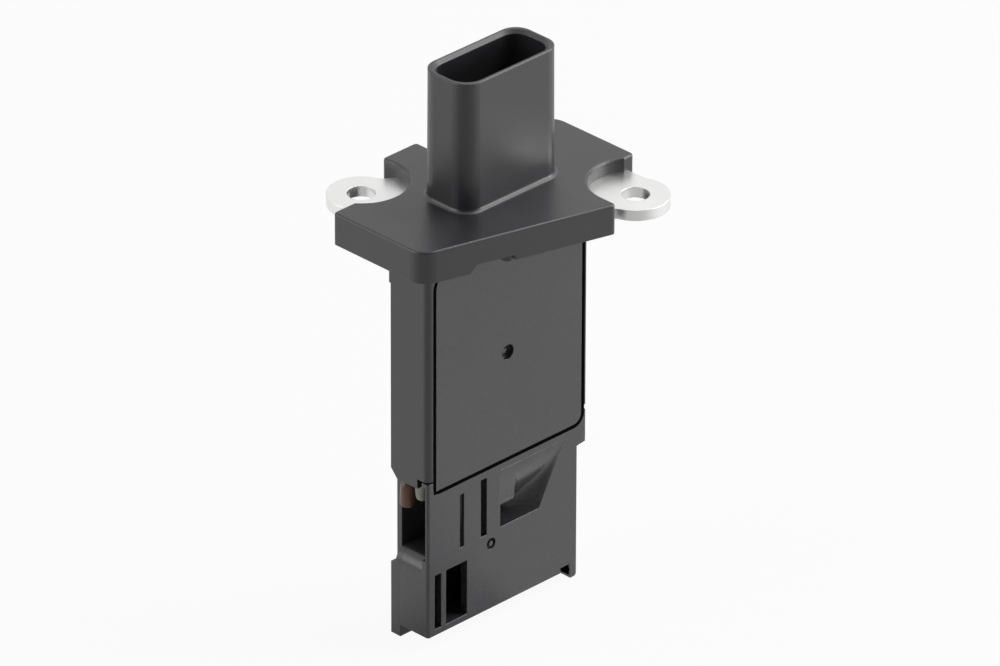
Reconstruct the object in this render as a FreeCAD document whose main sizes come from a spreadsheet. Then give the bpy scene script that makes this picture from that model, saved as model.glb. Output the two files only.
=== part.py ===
import FreeCAD, Part
import os
import re
import Sketcher
from FreeCAD import Placement, Rotation, Vector

# Plug-in mass airflow sensor, in millimetres.
# X runs along the wide faces and Y through the thin probe, with its front face towards -Y; Z is up.
# The origin is midway between the two screw holes, on the underside of the metal ears.
# Sizes named _depth are measured down from the underside of the flange, those named _drop down from the
# end of the circuit box, and those named _rise up from it.

SIZES = {
    # Ears and screw holes
    "hole_offset": 17.5,
    "hole_radius": 2.65,
    "ear_radius": 6.4,
    "ear_flank": 5.6,
    "ear_blend": 3.0,
    "plate_thick": 2.1,
    "plate_shoulder": 9.5,
    "plate_root_along": 10.0,
    "plate_root_across": -1.0,
    "plate_waist_x": 19.0,
    "plate_waist_y": 7.0,
    "plate_window_margin": 1.0,
    # Flange
    "flange_thick": 6.4,
    "flange_drop": 1.5,
    "flange_left": 29.9,
    "flange_right": 24.8,
    "flange_end_reach": 10.65,
    "flange_front_reach": 21.65,
    "flange_back_reach": 17.8,
    "flange_lobe": 3.0,
    "flange_lobe_x": 0.35,
    "notch_radius": 8.8,
    "notch_angle_left": 218.0,
    "notch_angle_right": 58.0,
    "flange_corner": 4.0,
    "flange_small_corner": 0.8,
    "flange_edge": 0.45,
    "relief_start": 20.3,
    "relief_length": 8.95,
    "relief_slope": 1.45,
    "relief_rise": 1.5,
    "relief_reach": 8.0,
    "front_rise": 0.45,
    "boss_x": -11.29,
    "boss_y": -13.7,
    "boss_radius": 1.36,
    # Connector shroud
    "shroud_x": -1.95,
    "shroud_length": 24.5,
    "shroud_width": 11.9,
    "shroud_corner": 3.6,
    "shroud_wall": 1.2,
    "cavity_corner": 3.4,
    "shroud_height": 26.0,
    "shroud_draft": 0.3,
    "shroud_root": 0.8,
    "cavity_depth": 19.0,
    "mouth_chamfer": 0.65,
    "mouth_edge": 0.25,
    "latch_width": 6.0,
    "latch_proud": 1.2,
    "latch_rise": 3.4,
    "latch_below_mouth": 5.5,
    # Circuit box
    "body_left": 22.55,
    "body_right": 17.9,
    "body_thick": 9.6,
    "body_edge": 1.3,
    "box_depth": 47.0,
    "box_end_wall": 1.8,
    "collar_proud": 0.4,
    "collar_depth": 8.0,
    "back_wall": 1.6,
    # Circuit cover and its seat
    "cover_left": 20.55,
    "cover_right": 16.95,
    "cover_top_depth": 3.0,
    "cover_end_drop": 1.3,
    "cover_thick": 1.8,
    "cover_gap": 0.55,
    "cover_corner": 4.0,
    "cover_foot_corner": 2.0,
    "seal_thick": 0.3,
    "ledge": 1.6,
    "strip_end_rise": 2.0,
    "gate_radius": 1.5,
    "gate_recess": 1.0,
    "gate_nub": 0.4,
    "gate_x": -2.25,
    "gate_depth": 26.3,
    # Bypass housing and its front shell
    "bypass_right": 15.75,
    "bypass_end_drop": 31.3,
    "plate_end_drop": 33.7,
    "back_plate": 2.4,
    "plate_corner": 1.5,
    "shell_face": 1.6,
    "tab_height": 2.6,
    "tab_width": 1.6,
    "tab_thick": 2.4,
    "tab_gap": 0.35,
    "lug_top_rise": 1.0,
    "lug_end_drop": 5.7,
    "lug_slope": 0.25,
    "mouth_length": 4.3,
    "mouth_corner": 1.5,
    "mouth_face": 0.65,
    "mouth_flare": 2.8,
    "mouth_set_back": 1.6,
    "mouth_back_wall": 1.2,
    "mouth_back_length": 12.0,
    "mouth_lip": 0.9,
    "mouth_lip_cut": 1.6,
    "mouth_lip_cut_rise": 0.9,
    "mouth_low_drop": 18.7,
    "channel_top_drop": 3.3,
    "channel_floor_drop": 15.4,
    "divider": 3.3,
    "return_floor_drop": 30.05,
    "end_wall": 1.7,
    "turn_wall": 2.2,
    "turn_gap": 4.8,
    "turn_corner": 3.6,
    "bell_radius": 3.1,
    "slot_one_x": -14.45,
    "slot_one_width": 1.1,
    "slot_one_top_drop": 4.3,
    "slot_two_x": -9.05,
    "slot_two_width": 1.55,
    "slot_two_top_drop": 3.4,
    "slot_three_x": -20.85,
    "slot_three_width": 1.7,
    "slot_four_x": -17.95,
    "slot_four_width": 5.4,
    "scoop_left": 4.05,
    "scoop_foot": 5.95,
    "scoop_head": 12.35,
    "scoop_end_drop": 15.2,
    "scoop_wall": 0.9,
    "scoop_deep": 4.8,
    "scoop_throat": 4.5,
    "scoop_lip_drop": 13.8,
    "land_recess": 0.8,
    "land_width": 4.5,
    "land_lead": 1.8,
    "land_end_drop": 10.6,
    "shell_gate_x": -6.4,
    "shell_gate_drop": 17.7,
    "shell_gate_radius": 1.15,
    "shell_nub_radius": 0.5,
    "shell_gate_recess": 0.8,
    "foot_width": 1.5,
    "foot_drop": 33.3,
    "foot_round": 0.6,
    "foot_notch": 2.6,
    "foot_notch_reach": 6.2,
    # Terminals and ribbons
    "terminal_pitch": 4.0,
    "terminal_thick": 0.64,
    "terminal_width": 1.5,
    "terminal_root_width": 2.4,
    "terminal_root": 3.0,
    "terminal_tip": 0.6,
    "terminal_below_mouth": 10.0,
    "shelf_end_depth": 10.0,
    "pad_clear": 0.8,
    "ribbon_width": 0.8,
    "ribbon_thick": 0.2,
    "ribbon_foot": 1.2,
    "ribbon_arch": 0.9,
    "ribbon_reach": 2.6,
    # Circuit
    "base_clear": 0.3,
    "base_thick": 1.0,
    "base_corner": 1.5,
    "glue_thick": 0.1,
    "glue_inset": 0.8,
    "board_inset": 1.0,
    "board_thick": 0.8,
    "gel_proud": 1.2,
    "chip_side": 7.0,
    "chip_thick": 0.9,
    "chip_x": 4.25,
    "chip_depth": 22.0,
    "capacitor_length": 2.0,
    "capacitor_width": 1.25,
    "capacitor_thick": 0.9,
    "capacitor_pitch": 3.2,
    "capacitor_x": -13.75,
    "capacitor_depth": 18.0,
    "resistor_length": 1.6,
    "resistor_width": 0.8,
    "resistor_thick": 0.45,
    "resistor_pitch": 2.6,
    "resistor_x": -8.25,
    "resistor_depth": 33.0,
    # Flow element and its tongue
    "tongue_x": 0.85,
    "tongue_width": 7.0,
    "tongue_thick": 0.8,
    "tongue_overlap": 5.7,
    "tongue_floor_gap": 4.6,
    "tongue_corner": 1.2,
    "tongue_clear": 0.2,
    "element_width": 2.4,
    "element_height": 3.0,
    "element_thick": 0.35,
    "element_margin": 0.8,
    "resin_height": 1.6,
    "resin_thick": 0.45,
    # Intake-air thermistor
    "bead_x": -21.0,
    "bead_y": 2.0,
    "bead_radius": 1.5,
    "bead_length": 5.3,
    "bead_gap": 0.3,
    "bead_round": 0.5,
    "lead_radius": 0.2,
    "lead_clear": 0.05,
    "lead_pitch": 1.1,
    "lead_rise": 3.6,
    "lead_step": 1.5,
    "lead_bend": 0.6,
    "lead_reach": 4.6,
}

FLANGE_BOTTOM = "(-flange_drop)"
FLANGE_TOP = "(flange_thick - flange_drop)"
MOUTH_TOP = "(flange_thick - flange_drop + shroud_height)"
FRONT = "(-body_thick / 2)"
BACK = "(body_thick / 2)"
PARTING = "(body_thick / 2 - back_plate)"
SHELL_INSIDE = "(shell_face - body_thick / 2)"
LEDGE_FACE = "(cover_thick + seal_thick - body_thick / 2)"
POCKET_FLOOR = "(body_thick / 2 - back_wall)"
POCKET_LEFT = "(-(cover_left - ledge))"
POCKET_RIGHT = "(cover_right - ledge)"
POCKET_TOP_DEPTH = "(cover_top_depth + ledge)"
POCKET_END_DEPTH = "(box_depth - box_end_wall)"
SHELF_FACE = "(terminal_thick / 2)"
BASE_BACK = "(body_thick / 2 - back_wall - glue_thick)"
BASE_FRONT = "(body_thick / 2 - back_wall - glue_thick - base_thick)"
BOARD_BACK = "(body_thick / 2 - back_wall - 2 * glue_thick - base_thick)"
BOARD_FRONT = "(body_thick / 2 - back_wall - 2 * glue_thick - base_thick - board_thick)"
TONGUE_FRONT = "(body_thick / 2 - back_wall - 2 * glue_thick - base_thick - board_thick - tongue_thick)"
COVER_END_DEPTH = "(box_depth + cover_end_drop)"
SHELL_TOP_DEPTH = "(box_depth + cover_end_drop + cover_gap)"
LUG_TOP_DEPTH = "(box_depth - lug_top_rise)"
LUG_END_DEPTH = "(box_depth + lug_end_drop)"
MOUTH_LOW_DEPTH = "(box_depth + mouth_low_drop)"
CHANNEL_TOP_DEPTH = "(box_depth + channel_top_drop)"
CHANNEL_FLOOR_DEPTH = "(box_depth + channel_floor_drop)"
RETURN_TOP_DEPTH = "(box_depth + channel_floor_drop + divider)"
RETURN_FLOOR_DEPTH = "(box_depth + return_floor_drop)"
BYPASS_END_DEPTH = "(box_depth + bypass_end_drop)"
PLATE_END_DEPTH = "(box_depth + plate_end_drop)"
FOOT_DEPTH = "(box_depth + foot_drop)"
SCOOP_LIP_DEPTH = "(box_depth + scoop_lip_drop)"
SCOOP_END_DEPTH = "(box_depth + scoop_end_drop)"
BEAD_TOP_DEPTH = "(box_depth + mouth_lip + bead_gap)"
TONGUE_TOP_DEPTH = "(box_depth - box_end_wall - board_inset - tongue_overlap)"
TONGUE_END_DEPTH = "(box_depth + channel_floor_drop - tongue_floor_gap)"
ELEMENT_END_DEPTH = "(box_depth + channel_floor_drop - tongue_floor_gap - element_margin)"
CHANNEL_RIGHT = "(bypass_right - turn_wall)"

doc = FreeCAD.newDocument("mass_airflow_sensor")
sheet = doc.addObject("Spreadsheet::Sheet", "Sizes")
for row, (name, number) in enumerate(SIZES.items(), start=1):
    sheet.set(f"A{row}", name.replace("_", " "))
    sheet.set(f"B{row}", str(number))
    sheet.setAlias(f"B{row}", name)
doc.recompute()

SIZE_WORD = re.compile(r"[a-z]+(?:_[a-z]+)*")


def linked(formula):
    """The formula with each of its size names written as a reference to the sheet."""
    return SIZE_WORD.sub(lambda word: f"Sizes.{word[0]}" if word[0] in SIZES else word[0], formula)


def value(formula):
    """The number that a formula of size names stands for."""
    return float(sheet.evalExpression(linked(formula)))


def below(depth):
    """The height of a place that lies a depth below the underside of the flange."""
    return f"(-flange_drop - ({depth}))"


def origin_plane(body, role):
    return next(feature for feature in body.Origin.OriginFeatures if feature.Role == role)


def new_sketch(body, name, role, level):
    """A sketch on one of the body's own planes, moved along that plane's normal to a level."""
    sketch = body.newObject("Sketcher::SketchObject", name)
    sketch.AttachmentSupport = [(origin_plane(body, role), "")]
    sketch.MapMode = "FlatFace"
    sketch.setExpression("AttachmentOffset.Base.z", linked(level))
    return sketch


def bind(sketch, constraint, formula):
    """Add a constraint and bind its value to a formula."""
    index = sketch.addConstraint(constraint)
    sketch.setExpression(f"Constraints[{index}]", linked(formula))


def place_point(sketch, geometry, end, across, up):
    for kind, formula in (("DistanceX", across), ("DistanceY", up)):
        bind(sketch, Sketcher.Constraint(kind, -1, 1, geometry, end, value(formula)), formula)


def add_polygon(sketch, corners):
    """A closed outline of straight lines through corners given as pairs of formulas."""
    points = [Vector(value(across), value(up), 0) for across, up in corners]
    first = sketch.GeometryCount
    for number, point in enumerate(points):
        sketch.addGeometry(Part.LineSegment(point, points[(number + 1) % len(points)]), False)
    for number, (across, up) in enumerate(corners):
        following = first + (number + 1) % len(points)
        sketch.addConstraint(Sketcher.Constraint("Coincident", first + number, 2, following, 1))
        place_point(sketch, first + number, 1, across, up)


def add_rectangle(sketch, low_across, high_across, low_up, high_up):
    add_polygon(sketch, [(low_across, low_up), (high_across, low_up),
                         (high_across, high_up), (low_across, high_up)])


def add_circle(sketch, across, up, radius):
    centre = Vector(value(across), value(up), 0)
    circle = sketch.addGeometry(Part.Circle(centre, Vector(0, 0, 1), value(radius)), False)
    place_point(sketch, circle, 3, across, up)
    bind(sketch, Sketcher.Constraint("Radius", circle, value(radius)), radius)


def settle(feature):
    """Recompute, and stop at a feature that can't be made."""
    doc.recompute()
    if not feature.isValid():
        raise RuntimeError(f"{feature.Name} can't be made: {feature.State}")
    return feature


def pad(body, name, sketch, length, along_normal=True, taper=None, middle=False):
    feature = body.newObject("PartDesign::Pad", name)
    feature.Profile = sketch
    feature.setExpression("Length", linked(length))
    feature.Reversed = not along_normal
    feature.Midplane = middle
    if taper:
        feature.setExpression("TaperAngle", linked(taper))
    return settle(feature)


def pocket(body, name, sketch, length, along_normal=False):
    """A pocket that is known to have removed material."""
    before = body.Shape.Volume
    feature = body.newObject("PartDesign::Pocket", name)
    feature.Profile = sketch
    feature.setExpression("Length", linked(length))
    feature.Reversed = along_normal
    settle(feature)
    if body.Shape.Volume >= before:
        raise RuntimeError(f"{name} of {body.Label} cuts nothing")
    return feature


def edges_along(shape, axis, places):
    """Names of the straight edges along an axis that pass through the places, as pairs of numbers."""
    others = [index for index in range(3) if index != axis]
    names = []
    for number, edge in enumerate(shape.Edges, start=1):
        ends = [vertex.Point for vertex in edge.Vertexes]
        if len(ends) != 2 or not isinstance(edge.Curve, Part.Line):
            continue
        for place in places:
            misses = [abs(end[other] - wanted) for end in ends for other, wanted in zip(others, place)]
            if max(misses) < 1e-4:
                names.append(f"Edge{number}")
    return names


def edges_at_height(shape, height, keep):
    """Names of the edges that lie at a height and whose middle passes the test."""
    names = []
    for number, edge in enumerate(shape.Edges, start=1):
        box = edge.BoundBox
        if abs(box.ZMin - height) < 1e-4 and abs(box.ZMax - height) < 1e-4 and keep(box.Center):
            names.append(f"Edge{number}")
    return names


def rim_edges(shape, height, outer):
    """Names of the outer or the inner edges of the flat face at a height."""
    face = next(face for face in shape.Faces
                if abs(face.BoundBox.ZMin - height) < 1e-4 and abs(face.BoundBox.ZMax - height) < 1e-4)
    rim = [edge for wire in face.Wires if wire.isSame(face.OuterWire) == outer for edge in wire.Edges]
    return [f"Edge{number}" for number, edge in enumerate(shape.Edges, start=1)
            if any(edge.isSame(other) for other in rim)]


def round_edges(body, name, edges, radius, kind="Fillet"):
    """A fillet or chamfer on named edges of the body's last feature."""
    if not edges:
        raise RuntimeError(f"{name} of {body.Label} finds no edge")
    feature = body.newObject(f"PartDesign::{kind}", name)
    feature.Base = (body.Group[-2], edges)
    feature.setExpression("Radius" if kind == "Fillet" else "Size", linked(radius))
    return settle(feature)


def block(label, across, through, up):
    """A box between pairs of formulas along X, Y and Z."""
    box = doc.addObject("Part::Box", label)
    for (low, high), base, side in zip((across, through, up), "xyz", ("Length", "Width", "Height")):
        box.setExpression(f"Placement.Base.{base}", linked(low))
        box.setExpression(side, linked(f"({high}) - ({low})"))
    return box


def centred(middle, size):
    """A pair of formulas, half the size to each side of the middle."""
    return f"({middle}) - ({size}) / 2", f"({middle}) + ({size}) / 2"


def new_body(label):
    body = doc.addObject("PartDesign::Body", label)
    body.Label = label
    return body


def mounting_plate():
    """Stamped plate: a wide web inside the flange and two round ears with the screw holes."""
    body = new_body("mounting_plate")
    half = [
        ("-hole_offset", "hole_offset + ear_flank"),
        ("-hole_offset - ear_flank", "hole_offset"),
        ("-hole_offset - ear_flank", "hole_offset - plate_shoulder"),
        ("-plate_waist_x", "-plate_waist_y"),
        ("hole_offset - plate_root_along", "-hole_offset - plate_root_across"),
    ]
    web = new_sketch(body, "web_outline", "XY_Plane", "0")
    add_polygon(web, half + [(f"-({across})", f"-({up})") for across, up in half])
    pad(body, "web", web, "plate_thick")
    ears = new_sketch(body, "ear_outline", "XY_Plane", "0")
    add_circle(ears, "-hole_offset", "hole_offset", "ear_radius")
    add_circle(ears, "hole_offset", "-hole_offset", "ear_radius")
    pad(body, "ears", ears, "plate_thick")
    middle = value("hole_offset")
    corners = []
    for edge in body.Shape.Edges:
        start, end = edge.Vertexes[0].Point, edge.Vertexes[-1].Point
        for sign in (-1, 1):
            reach = (start - Vector(sign * middle, -sign * middle, start.z)).Length
            if abs(start.z - end.z) > 1 and abs(reach - value("ear_radius")) < 1e-4:
                corners.append((start.x, start.y))
    round_edges(body, "ear_blends", edges_along(body.Shape, 2, corners), "ear_blend")
    window = new_sketch(body, "window_outline", "XY_Plane", "0")
    add_rectangle(window, "shroud_x - shroud_length / 2 - plate_window_margin",
                  "shroud_x + shroud_length / 2 + plate_window_margin",
                  f"{FRONT} - plate_window_margin", f"{BACK} + plate_window_margin")
    pocket(body, "window", window, "plate_thick", along_normal=True)
    holes = new_sketch(body, "hole_outline", "XY_Plane", "0")
    add_circle(holes, "-hole_offset", "hole_offset", "hole_radius")
    add_circle(holes, "hole_offset", "-hole_offset", "hole_radius")
    pocket(body, "screw_holes", holes, "plate_thick", along_normal=True)
    return body


def flange_corners():
    """Corners of the flange, through the hole centres where the round notches are cut."""
    notch_x = "hole_offset - notch_radius"
    return [
        ("-flange_left", "-flange_end_reach"),
        (notch_x, "-flange_front_reach"),
        (notch_x, "-hole_offset"),
        ("hole_offset", "-hole_offset"),
        ("hole_offset + notch_radius * cos(notch_angle_right)",
         "notch_radius * sin(notch_angle_right) - hole_offset"),
        ("flange_right", "notch_radius * sin(notch_angle_right) - hole_offset"),
        ("flange_right", "flange_end_reach"),
        ("-flange_lobe_x", "flange_back_reach"),
        ("-flange_lobe_x", "flange_back_reach + flange_lobe"),
        ("-hole_offset", "flange_back_reach + flange_lobe"),
        ("notch_radius * cos(notch_angle_left) - hole_offset",
         "hole_offset + notch_radius * sin(notch_angle_left)"),
        ("-flange_left", "hole_offset + notch_radius * sin(notch_angle_left)"),
    ]


def add_flange(body):
    corners = flange_corners()
    outline = new_sketch(body, "flange_outline", "XY_Plane", FLANGE_BOTTOM)
    add_polygon(outline, corners)
    pad(body, "flange", outline, "flange_thick")
    notches = new_sketch(body, "notch_outline", "XY_Plane", FLANGE_BOTTOM)
    add_circle(notches, "hole_offset", "-hole_offset", "notch_radius")
    add_circle(notches, "-hole_offset", "hole_offset", "notch_radius")
    pocket(body, "notches", notches, "flange_thick", along_normal=True)
    places = [(value(across), value(up)) for across, up in corners]
    large = [places[0], places[6]]
    lobe_end = "sqrt(notch_radius ^ 2 - (flange_back_reach + flange_lobe - hole_offset) ^ 2)"
    small = [places[index] for index in (1, 5, 8, 11)]
    small.append((value(f"{lobe_end} - hole_offset"), value("flange_back_reach + flange_lobe")))
    round_edges(body, "end_corners", edges_along(body.Shape, 2, large), "flange_corner")
    round_edges(body, "small_corners", edges_along(body.Shape, 2, small), "flange_small_corner")
    rim = edges_at_height(body.Shape, value(FLANGE_TOP), lambda middle: True)
    round_edges(body, "top_edge", rim, "flange_edge")


def add_rounded_rectangle(sketch, middle, length, width, radius):
    """A rectangle with round corners, centred on the X axis of the sketch."""
    right, top = f"({length}) / 2 - ({radius})", f"({width}) / 2 - ({radius})"
    quarters = [(right, top, 0), (f"-({right})", top, 90), (f"-({right})", f"-({top})", 180),
                (right, f"-({top})", 270)]
    arcs = []
    for across, up, turn in quarters:
        centre = Vector(value(f"{middle} + {across}"), value(up), 0)
        circle = Part.Circle(centre, Vector(0, 0, 1), value(radius))
        start, end = FreeCAD.Units.Quantity(turn, "deg"), FreeCAD.Units.Quantity(turn + 90, "deg")
        arc = Part.ArcOfCircle(circle, start.getValueAs("rad").Value, end.getValueAs("rad").Value)
        arcs.append(sketch.addGeometry(arc, False))
    for number, arc in enumerate(arcs):
        following = arcs[(number + 1) % len(arcs)]
        start, end = sketch.getPoint(arc, 2), sketch.getPoint(following, 1)
        side = sketch.addGeometry(Part.LineSegment(start, end), False)
        sketch.addConstraint(Sketcher.Constraint("Tangent", arc, 2, side, 1))
        sketch.addConstraint(Sketcher.Constraint("Tangent", side, 2, following, 1))
    for arc, (across, up, _) in zip(arcs, quarters):
        place_point(sketch, arc, 3, f"{middle} + {across}", up)
        bind(sketch, Sketcher.Constraint("Radius", arc, value(radius)), radius)


def add_shroud(body):
    """Connector shroud: drafted tube with a rounded root, a lead-in mouth and a latch nose."""
    outline = new_sketch(body, "shroud_outline", "XY_Plane", MOUTH_TOP)
    add_rounded_rectangle(outline, "shroud_x", "shroud_length", "shroud_width", "shroud_corner")
    pad(body, "shroud", outline, "shroud_height", along_normal=False, taper="shroud_draft")
    reach = value("shroud_length / 2 + 1")
    middle = value("shroud_x")
    root = edges_at_height(body.Shape, value(FLANGE_TOP),
                           lambda point: abs(point.x - middle) < reach and abs(point.y) < reach / 2)
    round_edges(body, "shroud_root_fillet", root, "shroud_root")
    inside = new_sketch(body, "cavity_outline", "XY_Plane", MOUTH_TOP)
    add_rounded_rectangle(inside, "shroud_x", "shroud_length - 2 * shroud_wall",
                          "shroud_width - 2 * shroud_wall", "cavity_corner")
    pocket(body, "cavity", inside, "cavity_depth")
    top = value(MOUTH_TOP)
    round_edges(body, "mouth_lead_in", rim_edges(body.Shape, top, False), "mouth_chamfer", "Chamfer")
    round_edges(body, "mouth_round", rim_edges(body.Shape, top, True), "mouth_edge")
    wall = "(shroud_width / 2)"
    nose = new_sketch(body, "latch_outline", "YZ_Plane", "shroud_x")
    add_polygon(nose, [
        (f"{wall} - shroud_wall / 2", f"{MOUTH_TOP} - latch_below_mouth"),
        (wall, f"{MOUTH_TOP} - latch_below_mouth"),
        (f"{wall} + latch_proud", f"{MOUTH_TOP} - latch_below_mouth - latch_rise + latch_proud / 2"),
        (f"{wall} + latch_proud", f"{MOUTH_TOP} - latch_below_mouth - latch_rise"),
        (f"{wall} - shroud_wall / 2", f"{MOUTH_TOP} - latch_below_mouth - latch_rise"),
    ])
    pad(body, "latch_nose", nose, "latch_width", middle=True)


def cover_corners(clearance):
    """Corners of the circuit cover in the XZ plane, grown by a clearance."""
    left, right = f"-cover_left - ({clearance})", f"cover_right + ({clearance})"
    top = below(f"cover_top_depth - ({clearance})")
    end = below(f"{COVER_END_DEPTH} + ({clearance})")
    return [(left, end), (right, end), (right, top), (left, top)]


def add_box(body):
    """Circuit box with its collar, cover seat, terminal shelf and deep circuit pocket."""
    outline = new_sketch(body, "box_outline", "XZ_Plane", "body_thick / 2")
    add_rectangle(outline, "-body_left", "body_right", below("box_depth"), f"{FLANGE_BOTTOM} + flange_edge")
    pad(body, "circuit_box", outline, "body_thick", along_normal=False)
    corner = edges_along(body.Shape, 2, [(value("-body_left"), value(FRONT))])
    round_edges(body, "box_front_edge", corner, "body_edge")
    lip = new_sketch(body, "mouth_lip_outline", "XZ_Plane", "body_thick / 2 - tab_thick")
    add_rectangle(lip, "-body_left", "mouth_length - body_left", below("box_depth + mouth_lip"),
                  below("box_depth"))
    pad(body, "mouth_lip_pad", lip, "body_thick - tab_thick", along_normal=False)
    collar = new_sketch(body, "collar_outline", "XY_Plane", FLANGE_BOTTOM)
    add_rectangle(collar, "-body_left", "body_right", "0.1", f"{BACK} + collar_proud")
    pad(body, "collar", collar, "collar_depth", along_normal=False)
    seat = new_sketch(body, "seat_outline", "XZ_Plane", "body_thick / 2")
    add_polygon(seat, cover_corners("cover_gap"))
    pocket(body, "cover_seat", seat, "cover_thick + seal_thick")
    grown = [(value(across), value(up)) for across, up in cover_corners("cover_gap")]
    round_edges(body, "seat_corners", edges_along(body.Shape, 1, grown[2:]), "cover_corner + cover_gap")
    notch = new_sketch(body, "tab_notch_outline", "XZ_Plane", "body_thick / 2")
    add_rectangle(notch, "-body_left - 1", "tab_width + tab_gap - body_left", below("box_depth + 1"),
                  below(f"{SHELL_TOP_DEPTH} - tab_height - tab_gap"))
    pocket(body, "tab_notch", notch, "tab_thick + tab_gap")
    strip = new_sketch(body, "strip_end_outline", "XZ_Plane", "body_thick / 2")
    add_rectangle(strip, "cover_right", "body_right + cover_gap", below("box_depth + cover_gap"),
                  below("box_depth - strip_end_rise"))
    pocket(body, "strip_end", strip, "cover_thick + seal_thick")
    shelf = new_sketch(body, "shelf_outline", "XZ_Plane", f"-{LEDGE_FACE}")
    add_rectangle(shelf, POCKET_LEFT, POCKET_RIGHT, below(POCKET_END_DEPTH), below(POCKET_TOP_DEPTH))
    pocket(body, "shelf_pocket", shelf, f"{SHELF_FACE} - {LEDGE_FACE}")
    deep = new_sketch(body, "pocket_outline", "XZ_Plane", f"-{SHELF_FACE}")
    add_rectangle(deep, POCKET_LEFT, POCKET_RIGHT, below(POCKET_END_DEPTH), below("shelf_end_depth"))
    pocket(body, "circuit_pocket", deep, f"{POCKET_FLOOR} - {SHELF_FACE}")
    slit = new_sketch(body, "slit_outline", "XY_Plane", below("box_depth"))
    add_rectangle(slit, *centred("tongue_x", "tongue_width + 2 * tongue_clear"),
                  f"{TONGUE_FRONT} - tongue_clear", f"{BOARD_FRONT} + tongue_clear")
    pocket(body, "tongue_slit", slit, "box_end_wall", along_normal=True)


def add_back_plate(body):
    """Back plate of the bypass, with its thinned inlet, set-back edge and round foot."""
    outline = new_sketch(body, "back_outline", "XZ_Plane", f"-{BACK}")
    add_rectangle(outline, "-body_left", "bypass_right", below(PLATE_END_DEPTH),
                  below("box_depth - box_end_wall"))
    pad(body, "back_plate_pad", outline, "back_plate")
    foot = [(value("bypass_right"), value(below(PLATE_END_DEPTH)))]
    round_edges(body, "plate_foot", edges_along(body.Shape, 1, foot), "plate_corner")
    thin = new_sketch(body, "inlet_outline", "XZ_Plane", f"-{PARTING}")
    add_polygon(thin, [
        ("-body_left - 1", below(CHANNEL_FLOOR_DEPTH)),
        ("-body_left + mouth_back_length - divider", below(CHANNEL_FLOOR_DEPTH)),
        ("-body_left + mouth_back_length", below("box_depth + mouth_lip")),
        ("-body_left - 1", below("box_depth + mouth_lip")),
    ])
    pocket(body, "inlet_thinning", thin, "back_plate - mouth_back_wall")
    floor = edges_along(body.Shape, 1, [(value("-body_left"), value(below(CHANNEL_FLOOR_DEPTH)))])
    round_edges(body, "inlet_floor_round", floor, "bell_radius")
    edge = new_sketch(body, "set_back_outline", "XZ_Plane", f"-{BACK}")
    add_rectangle(edge, "-body_left - 1", "mouth_set_back - body_left", below(MOUTH_LOW_DEPTH),
                  below("box_depth + mouth_lip"))
    pocket(body, "inlet_set_back", edge, "mouth_back_wall", along_normal=True)
    corner = new_sketch(body, "lip_corner_outline", "YZ_Plane", "-body_left")
    add_polygon(corner, [
        (f"{BACK} - mouth_lip_cut", below("box_depth + mouth_lip")),
        (f"{BACK} + 1", below("box_depth + mouth_lip")),
        (f"{BACK} + 1", below("box_depth - mouth_lip_cut_rise")),
        (BACK, below("box_depth - mouth_lip_cut_rise")),
    ])
    pocket(body, "lip_corner", corner, "mouth_set_back", along_normal=True)


def add_relief(body):
    """Relief under the flange's front edge, with a round boss standing in it."""
    end = "(relief_length - relief_start)"
    relief = new_sketch(body, "relief_outline", "XZ_Plane", "flange_front_reach")
    add_polygon(relief, [
        ("-relief_start", f"{FLANGE_BOTTOM} - flange_edge"),
        ("hole_offset", f"{FLANGE_BOTTOM} - flange_edge"),
        ("hole_offset", f"{FLANGE_BOTTOM} + front_rise"),
        (end, f"{FLANGE_BOTTOM} + front_rise"),
        (end, f"{FLANGE_BOTTOM} + relief_rise"),
        ("relief_slope - relief_start", f"{FLANGE_BOTTOM} + relief_rise"),
        ("-relief_start", FLANGE_BOTTOM),
    ])
    pocket(body, "relief", relief, "flange_front_reach - relief_reach")
    boss = new_sketch(body, "boss_outline", "XY_Plane", FLANGE_BOTTOM)
    add_circle(boss, "boss_x", "boss_y", "boss_radius")
    pad(body, "relief_boss", boss, "relief_rise * 2")


def main_housing(plate, terminals, leads):
    """One moulding: shroud, flange, circuit box and bypass back plate, round what is moulded in."""
    body = new_body("housing_moulding")
    add_flange(body)
    add_shroud(body)
    add_box(body)
    add_back_plate(body)
    add_relief(body)
    inserts = doc.addObject("Part::MultiFuse", "moulded_in")
    inserts.Shapes = [plate] + terminals + leads
    housing = doc.addObject("Part::Cut", "main_housing")
    housing.Base = body
    housing.Tool = inserts
    return housing


def terminal(number, height):
    """Flat contact strip: chamfered blade, wide root in the moulding and a bonding pad."""
    body = new_body(f"terminal_{number + 1}")
    outline = new_sketch(body, "strip_outline", "XZ_Plane", "0")
    blade, root = "(terminal_width / 2)", "(terminal_root_width / 2)"
    root_top = f"({MOUTH_TOP} - cavity_depth - terminal_root / 2)"
    tip = f"({MOUTH_TOP} - terminal_below_mouth)"
    foot = below("shelf_end_depth - pad_clear")
    right = [(blade, foot), (blade, f"{root_top} - terminal_root"), (root, f"{root_top} - terminal_root"),
             (root, root_top), (blade, root_top), (blade, f"{tip} - terminal_tip * 2"),
             ("(terminal_tip / 2)", tip)]
    left = [(f"-{across}", up) for across, up in reversed(right)]
    add_polygon(outline, right + left)
    pad(body, "strip", outline, "terminal_thick", middle=True)
    body.setExpression("Placement.Base.x", linked(f"shroud_x + {number - 2} * terminal_pitch"))
    return body


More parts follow.
